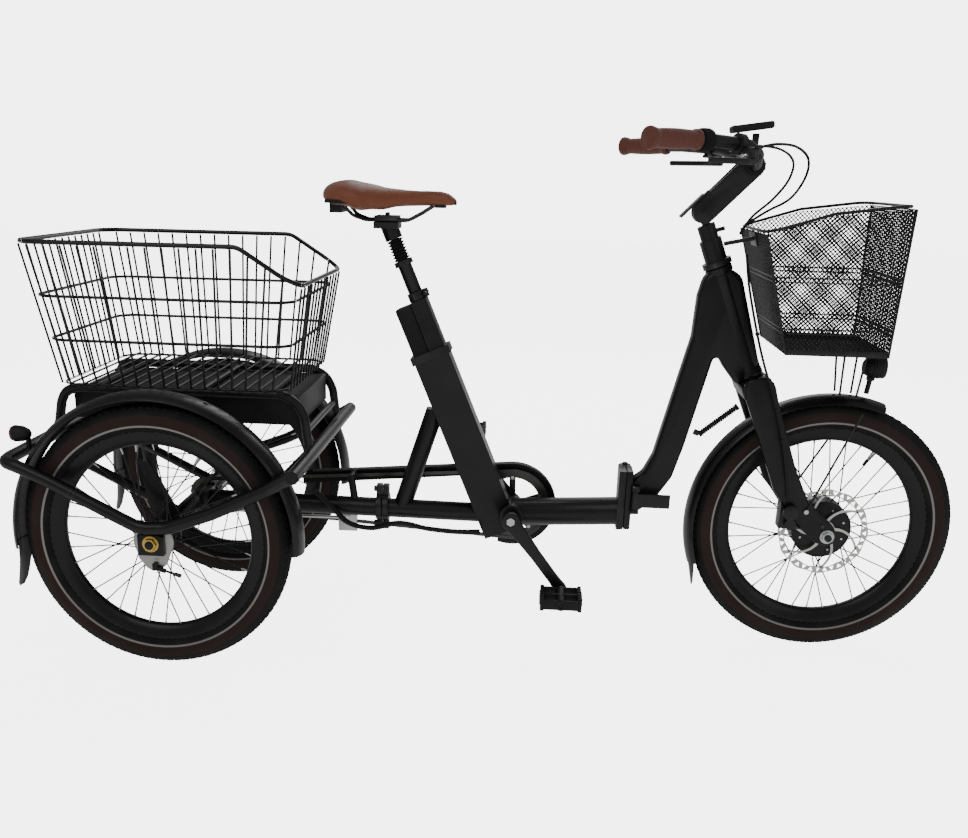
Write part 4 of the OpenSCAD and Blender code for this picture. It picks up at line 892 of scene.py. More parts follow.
def toothedInto(bm, centre, radius, teeth, thick, bore, slotIndex=0):
    # a toothed ring in the XZ plane
    outer, inner = [], []
    for i in range(teeth * 4):
        a = math.tau * i / (teeth * 4)
        reach = radius - 2.2 + (2.2, 1.2, -1.6, 1.2)[i % 4]
        outer.append((reach, a))
        inner.append((bore, a))
    loops = []
    for y in (-thick / 2, thick / 2):
        loops.append([bm.verts.new(arcPoint(centre, r, a, y)) for r, a in outer])
        loops.append([bm.verts.new(arcPoint(centre, r, a, y)) for r, a in inner])
    count = len(outer)
    for first, second in ((0, 1), (1, 3), (3, 2), (2, 0)):
        for i in range(count):
            j = (i + 1) % count
            face = bm.faces.new((loops[first][i], loops[first][j], loops[second][j], loops[second][i]))
            face.material_index = slotIndex


def makeChainring():
    bm = bmesh.new()
    centre = spot(drive["front"][0], drive["chainY"], drive["front"][1])
    toothedInto(bm, centre, drive["front"][2], drive["teeth"], 2.8, 60)
    for i in range(5):
        a = math.tau * i / 5 + 0.35
        start, end = arcPoint(centre, 12, a, 0), arcPoint(centre, 62, a, 0)
        turn = Matrix.Rotation(-a, 3, "Y")
        boxInto(bm, (start + end) / 2, (52, 4, 13), turn, 1, bevel=1)
        rodInto(bm, arcPoint(centre, 60, a, -3), arcPoint(centre, 60, a, 4), 4, 12, 2)
    spinInto(bm, [(10.4, -1), (20, -1), (20, 4), (10.4, 4)], centre, acrossAxis, 40, True, [1] * 4)
    addPiece("chainringToothed", bm, ["chainSteel", "partsBlack", "bareAlloy"], "crank_set", ["chainring"])
    bm = bmesh.new()
    centre = spot(0, drive["chainY"], drive["back"][1])
    toothedInto(bm, centre, drive["back"][2], 15, 2.8, 15)
    spinInto(bm, [(8.3, -9.5), (19, -9.5), (20, -8), (20, 8), (19, 9.5), (8.3, 9.5)], centre, acrossAxis, 40, True)
    addPiece("sprocketToothed", bm, "chainSteel", "sprocket", ["rear_sprocket"])


def chainPath():
    # places along the closed chain line, one pitch apart, with the direction of travel
    (fx, fz, fr), (bx, bz, br) = drive["front"], drive["back"]
    run = math.hypot(fx - bx, fz - bz)
    lean = math.asin((fr - br) / run)
    tilt = math.atan2(fz - bz, fx - bx)
    straight = run * math.cos(lean)
    parts = [straight, fr * (math.pi + 2 * lean), straight, br * (math.pi - 2 * lean)]
    total = sum(parts)
    count = round(total / drive["pitch"] / 2) * 2
    places = []
    for i in range(count):
        d = total * i / count
        if d < parts[0]:
            a = tilt + math.pi / 2 + lean
            s = d / parts[0]
            x = bx + math.cos(a) * br + (fx + math.cos(a) * fr - bx - math.cos(a) * br) * s
            z = bz + math.sin(a) * br + (fz + math.sin(a) * fr - bz - math.sin(a) * br) * s
            heading = a - math.pi / 2
        elif d < parts[0] + parts[1]:
            a = tilt + math.pi / 2 + lean - (d - parts[0]) / fr
            x, z = fx + math.cos(a) * fr, fz + math.sin(a) * fr
            heading = a - math.pi / 2
        elif d < parts[0] + parts[1] + parts[2]:
            a = tilt - math.pi / 2 - lean
            s = (d - parts[0] - parts[1]) / parts[2]
            x = fx + math.cos(a) * fr + (bx + math.cos(a) * br - fx - math.cos(a) * fr) * s
            z = fz + math.sin(a) * fr + (bz + math.sin(a) * br - fz - math.sin(a) * fr) * s
            heading = a - math.pi / 2
        else:
            a = tilt - math.pi / 2 - lean - (d - parts[0] - parts[1] - parts[2]) / br
            x, z = bx + math.cos(a) * br, bz + math.sin(a) * br
            heading = a - math.pi / 2
        places.append((x, z, heading))
    return places


def makeChain():
    bm = bmesh.new()
    for i, (x, z, heading) in enumerate(chainPath()):
        centre = spot(x, drive["chainY"], z)
        turn = Matrix.Rotation(-heading, 3, "Y")
        outside = i % 2
        for hand in (-1, 1):
            y = hand * (2.9 if outside else 2.0)
            boxInto(bm, centre + Vector((0, y * mm, 0)), (13.5, 0.9, 7.2), turn)
        ahead = turn @ Vector((6.3 * mm, 0, 0))
        rodInto(bm, centre + ahead - acrossAxis * 3.3 * mm, centre + ahead + acrossAxis * 3.3 * mm, 2.2, 8)
    addPiece("chainLinks", bm, "chainSteel", "rear_frame", ["chain"], tidyNormals=False)


crank = {"length": 179, "angle": 52.5, "y": 76, "thick": 14}


def makeCranks():
    centre = spot(drive["front"][0], 0, drive["front"][1])
    bm = bmesh.new()
    rodInto(bm, centre - acrossAxis * 74 * mm, centre + acrossAxis * 74 * mm, 9.8, 32, 1)
    slope = math.radians(crank["angle"])
    for hand in (-1, 1):
        away = Vector((math.cos(slope), 0, -math.sin(slope))) * -hand
        side = Vector((away.z, 0, -away.x))
        outline = []
        for t, half in ((0, 19), (0.12, 15), (0.5, 11.5), (0.85, 11), (1, 13)):
            outline.append(centre + away * crank["length"] * t * mm + side * half * mm)
        cap = []
        for k in range(1, 8):
            a = math.pi * k / 8
            cap.append(centre + away * (crank["length"] + 13 * math.sin(a)) * mm + side * 13 * math.cos(a) * mm)
        back = []
        for t, half in ((1, 13), (0.85, 11), (0.5, 11.5), (0.12, 15), (0, 19)):
            back.append(centre + away * crank["length"] * t * mm - side * half * mm)
        tail = []
        for k in range(1, 8):
            a = math.pi * k / 8
            tail.append(centre - away * 19 * math.sin(a) * mm - side * 19 * math.cos(a) * mm)
        y = crank["y"] - crank["thick"] if hand > 0 else -crank["y"]
        plateInto(bm, outline + cap + back + tail, y, crank["thick"], bevel=3)
        rodInto(bm, centre + acrossAxis * hand * 73 * mm, centre + acrossAxis * hand * 77.5 * mm, 9, 6, 2)
    addPiece("crankArms", bm, ["partsBlack", "darkSteel", "bareAlloy"], "crank_set", ["crank_arms"],
             angle=30)


def makePedal(label, hand, body):
    low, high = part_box(f"pedal_{label}")
    slope = math.radians(crank["angle"])
    centre = spot(675, 0, 263) + Vector((math.cos(slope), 0, -math.sin(slope))) * -hand * crank["length"] * mm
    bm = bmesh.new()
    inside, outside = crank["y"] + 6, crank["y"] + 94
    rodInto(bm, centre + acrossAxis * hand * 63 * mm, centre + acrossAxis * hand * inside * mm, 5.9, 24, 1)
    spinInto(bm, [(5, inside), (11, inside), (12, inside + 4), (10, inside + 20), (10, outside - 14),
                  (12, outside - 4), (10, outside), (5, outside)], centre, acrossAxis * hand, 32, True)
    for x in (-38, 38):
        boxInto(bm, centre + Vector((x, hand * (inside + outside) / 2, 0)) * mm, (8, 86, 25), bevel=2)
        for k in range(6):
            y = inside + 8 + k * (outside - inside - 16) / 5
            for z in (-12.6, 12.6):
                boxInto(bm, centre + Vector((x, hand * y, z)) * mm, (8, 5, 2.4), bevel=0.6)
    for y in (inside + 6, (inside + outside) / 2, outside - 5):
        boxInto(bm, centre + Vector((0, hand * y, 0)) * mm, (72, 7, 20), bevel=2)
    for x in (-1, 1):
        place = centre + Vector((x * 42.8, hand * (inside + outside) / 2, 0)) * mm
        boxInto(bm, place, (1.8, 44, 15), slotIndex=2, bevel=0.5)
    for vert in bm.verts:
        vert.co.x = min(max(vert.co.x, low.x), high.x)
        vert.co.z = min(max(vert.co.z, low.z - 1 * mm), high.z + 1 * mm)
    addPiece(f"pedal_{label}_body", bm, ["plasticBlack", "darkSteel", "amberLens"], body, [f"pedal_{label}"])


makeChainring()
makeChain()
makeCranks()
makePedal("right", -1, "right_pedal")
makePedal("left", 1, "left_pedal")
print("drive")

seat = {"tail": 283, "nose": 549, "width": 172}
crownLine = [(0.0, 906), (0.06, 912), (0.13, 916), (0.22, 916.5), (0.34, 910), (0.48, 903), (0.62, 900),
             (0.78, 900), (0.92, 898), (1.0, 892)]
skirtLine = [(0.0, 30), (0.12, 40), (0.3, 46), (0.44, 36), (0.6, 25), (0.85, 23), (1.0, 20)]


def follow(line, t):
    for (t0, v0), (t1, v1) in zip(line, line[1:]):
        if t <= t1:
            s = (t - t0) / (t1 - t0)
            s = s * s * (3 - 2 * s)
            return v0 + (v1 - v0) * s
    return line[-1][1]


def saddleHalf(t):
    if t < 0.3:
        return seat["width"] / 2 * math.sqrt(max(0.0, 1 - ((0.3 - t) / 0.31) ** 2))
    return seat["width"] / 2 + (19 - seat["width"] / 2) * min(1, (t - 0.3) / 0.46) ** 0.8


def saddleShell(grow):
    # a closed saddle skin of loops along its length, joined with bridge_loops
    bm = bmesh.new()
    loops = []
    shares = [0.012, 0.04, 0.09, 0.15, 0.22, 0.3, 0.38, 0.46, 0.54, 0.62, 0.7, 0.78, 0.86, 0.93, 0.975, 0.995]
    for t in shares:
        x = seat["tail"] + (seat["nose"] - seat["tail"]) * t
        half = max(4, saddleHalf(t)) * (1 if t < 0.93 else math.sqrt(max(0.05, 1 - ((t - 0.93) / 0.075) ** 2)))
        top = follow(crownLine, t)
        ends = math.sqrt(max(0.04, 1 - (max(0, 0.09 - t) / 0.092) ** 2)) if t < 0.5 else \
            math.sqrt(max(0.04, 1 - (max(0, t - 0.9) / 0.101) ** 2))
        skirt = follow(skirtLine, t)
        ring = []
        for k in range(28):
            a = math.tau * k / 28
            c, s = math.cos(a), math.sin(a)
            y = half * math.copysign(abs(c) ** 0.62, c)
            droop = 9 * (y / max(half, 1)) ** 2 * min(1, half / 50)
            if s >= 0:
                z = top - skirt + (skirt - droop) * abs(s) ** 0.42
            else:
                z = top - skirt + (1 - abs(s) ** 0.5) * 3
            z = top - skirt / 2 + (z - top + skirt / 2) * ends
            ring.append(bm.verts.new(spot(x, y * grow, z)))
        edges = [bm.edges.new((ring[i], ring[(i + 1) % 28])) for i in range(28)]
        loops.append(edges)
    for first, second in zip(loops, loops[1:]):
        bmesh.ops.bridge_loops(bm, edges=first + second)
    bmesh.ops.holes_fill(bm, edges=[e for e in bm.edges if e.is_boundary])
    bmesh.ops.recalc_face_normals(bm, faces=bm.faces)
    return bm


def puff(piece, voxel, pressure, cap):
    # voxel remesh, a short cloth run under pressure, each point held to a cap, then applied
    bpy.context.view_layer.objects.active = piece
    remesh = piece.modifiers.new("remesh", "REMESH")
    remesh.mode = "VOXEL"
    remesh.voxel_size = voxel * mm
    bpy.ops.object.modifier_apply(modifier=remesh.name)
    before = [v.co.copy() for v in piece.data.vertices]
    cloth = piece.modifiers.new("cloth", "CLOTH")
    cloth.settings.quality = 6
    cloth.settings.tension_stiffness = 40
    cloth.settings.compression_stiffness = 40
    cloth.settings.bending_stiffness = 4
    cloth.settings.use_pressure = True
    cloth.settings.uniform_pressure_force = pressure
    cloth.settings.effector_weights.gravity = 0
    scene = bpy.context.scene
    scene.frame_start, scene.frame_end = 1, 20
    cloth.point_cache.frame_start, cloth.point_cache.frame_end = 1, 20
    for number in range(1, 21):
        scene.frame_set(number)
    graph = bpy.context.evaluated_depsgraph_get()
    after = [v.co.copy() for v in piece.evaluated_get(graph).data.vertices]
    piece.modifiers.remove(cloth)
    for vert, old, new in zip(piece.data.vertices, before, after):
        move = new - old
        vert.co = old + (move if move.length <= cap * mm else move.normalized() * cap * mm)
    scene.frame_set(1)


def makeSaddle():
    bm = saddleShell(0.97)
    mesh = bpy.data.meshes.new("saddleCover")
    bm.to_mesh(mesh)
    bm.free()
    cover = bpy.data.objects.new("saddleCover", mesh)
    bpy.context.scene.collection.objects.link(cover)
    bpy.context.view_layer.update()
    puff(cover, 4, 4.0, 3)
    bm = bmesh.new()
    bm.from_mesh(cover.data)
    for _ in range(3):
        bmesh.ops.smooth_vert(bm, verts=bm.verts, factor=0.5, use_axis_x=True, use_axis_y=True, use_axis_z=True)
    # pressed channel along the middle
    for vert in bm.verts:
        t = (vert.co.x - spot(seat["tail"], 0, 0).x) / ((seat["nose"] - seat["tail"]) * mm)
        y = abs(vert.co.y) / mm
        if vert.normal.z > 0.3 and 0.1 < t < 0.86:
            ease = math.sin((t - 0.1) / 0.76 * math.pi) ** 0.5
            vert.co.z -= 3.2 * mm * ease * math.exp(-(y / 7) ** 2)
    bm.to_mesh(cover.data)
    bm.free()
    cover.modifiers.new("round", "SUBSURF").levels = 1
    cover.modifiers["round"].render_levels = cover.modifiers["round"].levels
    cover.data.materials.append(finishes["tanLeather"])
    for face in cover.data.polygons:
        face.use_smooth = True
    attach(cover, "saddle")
    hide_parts("saddle_cover")


rails = {"radius": 3.5, "bend": 25}


def makeRails():
    low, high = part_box("saddle_rails")
    z = low.z / mm + rails["radius"]
    under = high.z / mm - 1
    bm = bmesh.new()
    path = [spot(328, -34, under), spot(346, -27, z + 8), spot(370, -22, z), spot(452, -22, z), spot(478, -18, z + 14),
            spot(500, -12, under)]
    for line in (path, mirrored(path)):
        tubeInto(bm, rounded(line, rails["bend"]), rails["radius"], 16)
    addPiece("saddleRails", bm, "darkSteel", "saddle", ["saddle_rails"])


leanAxis = Vector((-math.sin(math.radians(23)), 0, math.cos(math.radians(23))))


def makeBellows():
    centre = middle("seatpost_bellows")
    length = 42
    profile = [(9.6, -length / 2)]
    rings = 7
    for i in range(rings):
        base = -length / 2 + i * length / rings
        profile += [(12.4, base + 0.4), (16.3, base + 2.4), (16.3, base + 3.6), (12.4, base + 5.6)]
    profile.append((9.6, length / 2))
    bm = bmesh.new()
    spinInto(bm, profile, centre, leanAxis, 48, True)
    addPiece("postBellows", bm, "softRubber", "seat_post", ["seatpost_bellows"], angle=60)


makeSaddle()
makeRails()
makeBellows()
print("saddle")

# front frame, fork and what turns with it

head = {"foot": (1049, 0, 783), "angle": 68}
headTilt = math.radians(head["angle"])
steerDir = Vector((-math.cos(headTilt), 0, math.sin(headTilt)))
steerTurn = Matrix.Rotation(headTilt - math.pi / 2, 3, "Y")


def steerAt(along):
    return spot(*head["foot"]) + steerDir * along * mm


frontFrame = {
    "outline": [(911, 262), (944, 286), (972, 312), (1000, 356), (1018, 420), (1062, 612), (1082, 582),
                (1110, 548), (1128, 560), (1150, 590), (1098, 760), (1076, 772), (1030, 768), (1018, 720), (1014, 640),
                (958, 400), (940, 362), (911, 340)],
    "halfWidth": 22, "edge": 10,
}


def makeFrontFrame():
    bm = bmesh.new()
    outline = rounded([spot(x, 0, z) for x, z in frontFrame["outline"]], 34, 5, closed=True)
    plateInto(bm, outline, -frontFrame["halfWidth"], 2 * frontFrame["halfWidth"], frontFrame["edge"], segments=5)
    spinInto(bm, [(15.4, -234.2), (22.6, -234.2), (25.6, -232), (25.6, -225), (24, -223), (24, -24), (25.8, -21),
                  (25.8, -11), (23, -8.2), (15.4, -8.2)], steerAt(0), steerDir, 72, True)
    # hinge leaf, knuckle and the lugs for the latch
    boxInto(bm, spot(914.3, -1, 305), (14, 58, 124), bevel=3)
    rodInto(bm, spot(907, 34, 279.8), spot(907, 34, 330.2), 12, 40)
    boxInto(bm, spot(915, 31, 305), (11, 12, 50.4), bevel=1)
    for z in (286, 334):
        boxInto(bm, spot(927, -31, z), (16, 30, 8), bevel=1.5)
    rodInto(bm, spot(1036, -10, 452), spot(1046, -10, 448), 6, 20)
    # weld beads where the tubes meet
    for along, radius in ((-222, 24.6), (-26, 24.6)):
        spinInto(bm, [(radius, along - 1), (radius + 0.9, along), (radius, along + 1)], steerAt(0), steerDir, 72, True)
    addPiece("frontFrameTube", bm, "framePaint", "front_half", ["front_frame"], angle=40)


fork = {
    "blade": [(1112.8, 567.8), (1168.8, 579.8), (1184.8, 525.8), (1232, 400), (1266, 330), (1326, 278), (1328, 246),
              (1312, 240), (1288, 246), (1240, 290), (1196, 350), (1160, 440), (1120.8, 531.8)],
    "inside": 51, "thick": 22, "edge": 5,
}


def makeFork():
    bm = bmesh.new()
    outline = rounded([spot(x, 0, z) for x, z in fork["blade"]], 26, 4, closed=True)
    for start in (-fork["inside"] - fork["thick"], fork["inside"]):
        plateInto(bm, outline, start, fork["thick"], fork["edge"])
    boxInto(bm, steerAt(-250.2), (59, 140, 29), steerTurn, bevel=6)
    spinInto(bm, [(0.01, -240), (14.8, -240), (14.8, -232), (14.8, 3.5), (0.01, 3.5)], steerAt(0), steerDir, 48)
    spinInto(bm, [(15, -236), (21, -235.6), (23.5, -234.9), (15, -234.6)], steerAt(0), steerDir, 48, True, [1] * 4)
    axle = spot(1310, 0, 261)
    for hand in (-1, 1):
        out = acrossAxis * hand
        spinInto(bm, [(7.1, 73.1), (13.5, 73.1), (14, 73.6), (14, 75), (7.1, 75)], axle, out, 40, True, [2] * 5)
        rodInto(bm, axle + out * 75 * mm, axle + out * 83.2 * mm, 11.6, 6, 2)
        spinInto(bm, [(0.01, 88), (6, 87.6), (7, 86.6), (7, 73), (0.01, 73)], axle, out, 32, False, [1] * 4)
        # dropout eye and pinch bolt
        rodInto(bm, spot(1298, hand * 51, 282), spot(1298, hand * 74.6, 282), 4.2, 6, 1)
        rodInto(bm, spot(1262, hand * 76, 312), spot(1354, hand * 39, 505), 2.2, 12)
        rodInto(bm, spot(1262, hand * 72, 312), spot(1262, hand * 79, 312), 4.6, 16, 2)
    addPiece("forkBlades", bm, ["framePaint", "darkSteel", "bareAlloy"], "fork", ["front_fork"],
             angle=40)


spring = {"from": (1046, -10, 446), "to": (1118, -10, 507), "turns": 19, "radius": 6.8, "wire": 1.5}


def makeSpring():
    start, end = spot(*spring["from"]), spot(*spring["to"])
    run = end - start
    side = acrossAxis
    up = run.normalized().cross(side)
    path = []
    steps = spring["turns"] * 12
    for i in range(steps + 1):
        a = math.tau * i / 12
        path.append(start + run * (0.05 + 0.9 * i / steps)
                    + (side * math.cos(a) + up * math.sin(a)) * (spring["radius"] - spring["wire"]) * mm)
    bm = bmesh.new()
    tubeInto(bm, path, spring["wire"], 8)
    for p, q in ((start, run), (end, -run)):
        rodInto(bm, p, p + q * 0.06, spring["radius"], 24, 1)
    rodInto(bm, start + run * 0.02, end - run * 0.02, spring["radius"] - 2.2, 20, 1)
    addPiece("steeringSpring", bm, ["darkSteel", "softRubber"], "front_half", ["steering_spring"])


basket = {
    "top": [(1112, 842.1), (1226, 876.1), (1364, 891.1)], "low": (1174, 1360, 628), "rim": 140, "foot": 122,
    "pitch": (8.5, 8.0), "strand": 1.05, "sheet": 0.9, "rimWire": 3, "ribs": (668, 676, 760, 768),
}


def basketHalf(z):
    return basket["foot"] + (basket["rim"] - basket["foot"]) * (z - 628) / (895 - 628)


def diamondsInto(bm, corners):
    # a flat panel of staggered diamonds, cut to the panel's own corners
    base = corners[0]
    across = (corners[1] - base).normalized()
    facing = across.cross(corners[2] - base).normalized()
    rise = facing.cross(across)
    flat = [((p - base).dot(across), (p - base).dot(rise)) for p in corners]
    low = [min(p[k] for p in flat) for k in (0, 1)]
    high = [max(p[k] for p in flat) for k in (0, 1)]
    columns = int((high[0] - low[0]) / mm / basket["pitch"][0]) + 2
    rows = int((high[1] - low[1]) / mm / basket["pitch"][1]) + 2
    sheet = bmesh.new()
    bmesh.ops.create_grid(sheet, x_segments=columns, y_segments=rows, size=0.5)
    bmesh.ops.poke(sheet, faces=sheet.faces)
    # the poked grid keeps only its slanted edges, which leaves diamonds
    straight = [e for e in sheet.edges if not e.is_boundary
                and (abs(e.verts[0].co.x - e.verts[1].co.x) < 1e-7 or abs(e.verts[0].co.y - e.verts[1].co.y) < 1e-7)]
    bmesh.ops.dissolve_edges(sheet, edges=straight, use_verts=False)
    wide, tall = columns * basket["pitch"][0] * mm, rows * basket["pitch"][1] * mm
    for vert in sheet.verts:
        vert.co = (base + across * (low[0] + (vert.co.x + 0.5) * wide)
                   + rise * (low[1] + (vert.co.y + 0.5) * tall))
    count = len(corners)
    for i in range(count):
        p, q = corners[i], corners[(i + 1) % count]
        outward = (q - p).cross(facing).normalized()
        bmesh.ops.bisect_plane(sheet, geom=sheet.verts[:] + sheet.edges[:] + sheet.faces[:], dist=1e-6,
                               plane_co=p, plane_no=outward, clear_outer=True)
    mesh = bpy.data.meshes.new("sheet")
    sheet.to_mesh(mesh)
    sheet.free()
    bm.from_mesh(mesh)
    bpy.data.meshes.remove(mesh)


def basketSheet(name, panels):
    bm = bmesh.new()
    for corners in panels:
        diamondsInto(bm, corners)
    holes = bm.faces[:]
    bmesh.ops.inset_individual(bm, faces=holes, thickness=basket["strand"] * mm, depth=0, use_even_offset=True)
    bmesh.ops.delete(bm, geom=holes, context="FACES_ONLY")
    piece = addPiece(name, bm, "meshPaint", "fork", ["front_basket"], tidyNormals=False)
    wall = piece.modifiers.new("wall", "SOLIDIFY")
    wall.thickness = basket["sheet"] * mm
    wall.offset = 0
    return piece


def makeFrontBasket():
    back, front, floor = basket["low"]
    half, foot = basketHalf, basket["foot"]
    (x0, z0), (x1, z1), (x2, z2) = basket["top"]
    sides = []
    for hand in (-1, 1):
        side = [spot(back, hand * foot, floor), spot(front, hand * foot, floor), spot(x2, hand * half(z2), z2),
                spot(x1, hand * half(z1), z1), spot(x0, hand * half(z0), z0)]
        sides.append(side)
    ends = []
    for x, z, low in ((x2, z2, front), (x0, z0, back)):
        ends.append([spot(low, -foot, floor), spot(low, foot, floor), spot(x, half(z), z), spot(x, -half(z), z)])
    base = [spot(back, -foot, floor), spot(front, -foot, floor), spot(front, foot, floor), spot(back, foot, floor)]
    basketSheet("basketSides", sides)
    basketSheet("basketEnds", ends)
    basketSheet("basketFloor", [base])

    bm = bmesh.new()
    y = basket["rim"]
    c = 22
    loop = [spot(x0 + c, -y, 852), spot(x1, -y, 880), spot(x2 - c, -y, 895), spot(x2, c - y, 895), spot(x2, y - c, 895),
            spot(x2 - c, y, 895), spot(x1, y, 880), spot(x0 + c, y, 852), spot(x0, y - c, 846), spot(x0, c - y, 846)]
    tubeInto(bm, rounded(loop, 40, 5, closed=True), basket["rimWire"], 14, closed=True)

    def wallX(z, edge):
        # x of the back (edge 0) and front (edge 1) walls at a height
        if edge == 0:
            return back + (x0 - back) * (z - floor) / (z0 - floor)
        return front + (x2 - front) * (z - floor) / (z2 - floor)

    for z in basket["ribs"]:
        w = half(z) + 0.6
        ring = [spot(wallX(z, 0), -w, z), spot(wallX(z, 1), -w, z), spot(wallX(z, 1), w, z), spot(wallX(z, 0), w, z)]
        tubeInto(bm, rounded(ring, 14, 4, closed=True), 1.3, 8, closed=True)
    # folded bands at the corners and round the floor
    for hand in (-1, 1):
        for edge, (x, z) in ((0, (x0, z0)), (1, (x2, z2))):
            rodInto(bm, spot(wallX(floor, edge), hand * foot, floor), spot(x, hand * half(z), z), 2.2, 10)
        boxInto(bm, spot((back + front) / 2, hand * (foot + 0.4), floor + 5), (front - back, 1.6, 11), bevel=0.4)
    for x in (back, front):
        boxInto(bm, spot(x, 0, floor + 5), (1.6, 2 * foot, 11), bevel=0.4)
    addPiece("basketWires", bm, "wirePaint", "fork", ["front_basket"])


lamp = {"centre": (1352, 0, 592), "radius": 22}


def makeHeadlight():
    bm = bmesh.new()
    centre = spot(*lamp["centre"])
    ahead = Vector((1, 0, 0))
    spinInto(bm, [(0.01, 0), (10, 0.5), (15, 4), (20.5, 14), (22, 24), (22, 40), (20.6, 42.4), (19.4, 42.4),
                  (19.4, 39), (0.01, 39)], centre, ahead, 56)
    spinInto(bm, [(0.01, 45.8), (8, 45.3), (15, 43.6), (19.2, 41.2), (19.2, 39.2), (0.01, 39.2)], centre, ahead, 56,
             False, [1] * 5)
    for k in range(4):
        spinInto(bm, [(21.4, 16 + 5 * k), (22.4, 17 + 5 * k), (22.4, 18.4 + 5 * k), (21.4, 19.4 + 5 * k)], centre, ahead,
                 56, True)
    rodInto(bm, spot(1370, 0, 572), spot(1366, 0, 539), 5, 20)
    boxInto(bm, spot(1370, 0, 569), (14, 12, 8), bevel=1.5)
    addPiece("headlightBody", bm, ["plasticBlack", "clearLens"], "fork", ["headlight"])


makeFrontFrame()
makeFork()
makeSpring()
makeFrontBasket()
makeHeadlight()
print("front")

# stem, bar and controls

dress("stem_arm", "partsBlack", 1.2)

bar = {
    "radius": 11.1, "mid": [(1086, 108, 976), (1058, 160, 990)], "gripStart": (964, 228, 995),
    "gripTurn": 38, "gripLength": 114.6, "gripRadius": 17,
}
gripTurn = math.radians(bar["gripTurn"])


def gripAxis(hand):
    return Vector((-math.cos(gripTurn), hand * math.sin(gripTurn), 0))


def gripFoot(hand):
    x, y, z = bar["gripStart"]
    return spot(x, hand * y, z)


def makeBar():
    bm = bmesh.new()
    halfPath = {}
    for hand in (-1, 1):
        foot, ahead = gripFoot(hand), gripAxis(hand)
        halfPath[hand] = ([spot(1096, hand * 40, 958)] + [spot(x, hand * y, z) for x, y, z in bar["mid"]]
                          + [foot - ahead * 32 * mm, foot + ahead * (bar["gripLength"] - 5) * mm])
    tubeInto(bm, rounded(halfPath[-1][::-1] + halfPath[1], 60, 7), bar["radius"], 28)
    for hand in (-1, 1):
        # clamp with its hinge, pinch bolt and the lever's pivot block
        a, b = spot(1046, hand * 169, 991), spot(1036, hand * 176, 992)
        rodInto(bm, a, b, 17, 40)
        rodInto(bm, spot(1062, hand * 196, 968.8), spot(1062, hand * 196, 982), 9, 32)
        boxInto(bm, spot(1054, hand * 186, 980), (26, 15, 11), Matrix.Rotation(hand * math.radians(51), 3, "Z"),
                bevel=3)
        rodInto(bm, spot(1028, hand * 162, 976), spot(1042, hand * 180, 976), 3.4, 12, 1)
        rodInto(bm, spot(1062, hand * 196, 982), spot(1062, hand * 196, 983.4), 4.6, 6, 1)
        # cable adjuster
        way = (spot(1104, hand * 170, 992) - spot(1067, hand * 201, 984.8)).normalized()
        foot = spot(1067, hand * 201, 984.8)
        rodInto(bm, foot - way * 2 * mm, foot + way * 6 * mm, 4.8, 20, 0)
        rodInto(bm, foot + way * 6 * mm, foot + way * 13 * mm, 3.8, 14, 1, tip=3)
    addPiece("barTube", bm, ["partsBlack", "darkSteel"], "stem", ["handlebar"])

    bm = bmesh.new()
    for hand in (-1, 1):
        foot, ahead = gripFoot(hand), gripAxis(hand)
        length, r = bar["gripLength"], bar["gripRadius"]
        profile = [(11.5, 0.6), (r - 2.4, 0.6), (r - 0.6, 2), (r, 5), (r, 9), (r - 1.4, 11), (r - 1.6, 14)]
        rows = 13
        for k in range(rows):
            base = 16 + k * (length - 34) / rows
            step = (length - 34) / rows
            swell = 1.2 * math.sin(k / (rows - 1) * math.pi)
            profile += [(r - 2.1 + swell, base), (r - 1.8 + swell, base + step * 0.25),
                        (r - 1.8 + swell, base + step * 0.7), (r - 2.1 + swell, base + step * 0.95)]
        profile += [(r - 1.2, length - 17), (r + 0.8, length - 9), (r + 1.6, length - 5), (r + 0.8, length - 1),
                    (12, length), (11.5, length)]
        spinInto(bm, profile, foot, ahead, 64, True)
        end = foot + ahead * length * mm
        spinInto(bm, [(0.01, -6), (11.3, -6), (12.4, -0.4), (11, 0.8), (0.01, 1)], end, ahead, 40, False, [0] * 5)
    addPiece("gripRubber", bm, ["tanGrip", "plasticBlack"], "stem", ["grips"], angle=45)

    bm = bmesh.new()
    foot, ahead = gripFoot(-1), gripAxis(-1)
    spinInto(bm, [(11.2, -1.2), (15.5, -1.2), (18, -3), (18.6, -12), (19, -14), (19, -20), (17.4, -25), (15, -26),
                  (11.2, -26)], foot, ahead, 64, True)
    side = ahead.cross(Vector((0, 0, 1)))
    for k in range(24):
        a = math.tau * k / 24
        out = side * math.cos(a) + Vector((0, 0, 1)) * math.sin(a)
        rodInto(bm, foot + out * 17.7 * mm - ahead * 2.6 * mm, foot + out * 18.2 * mm - ahead * 13 * mm, 0.9, 6)
    addPiece("shifterGrip", bm, "softRubber", "shifter", ["twist_shifter"], angle=40)


def makeDisplay():
    bm = bmesh.new()
    turn = Matrix.Rotation(math.radians(-8), 3, "Y")
    centre = spot(1046, -33, 1012) + turn @ Vector((38, 0, 6.5)) * mm
    boxInto(bm, centre, (75, 46, 12.6), turn, bevel=4)
    boxInto(bm, centre + turn @ Vector((3, 0, 6.15)) * mm, (58, 37, 0.6), turn, 1, bevel=0.2)
    for k in range(3):
        boxInto(bm, centre + turn @ Vector((-31, -12 + 12 * k, 6.2)) * mm, (6, 7, 1.4), turn, 2, bevel=0.5)
    boxInto(bm, spot(1092, -32, 993), (12, 8, 41), bevel=1.5)
    rodInto(bm, spot(1096, -36, 958), spot(1096, -28, 958), 17, 40)
    rodInto(bm, spot(1113, -32, 951), spot(1113, -32, 964), 3, 12, 3)
    addPiece("displayBody", bm, ["plasticBlack", "screenGlass", "softRubber", "darkSteel"], "stem", ["display"])


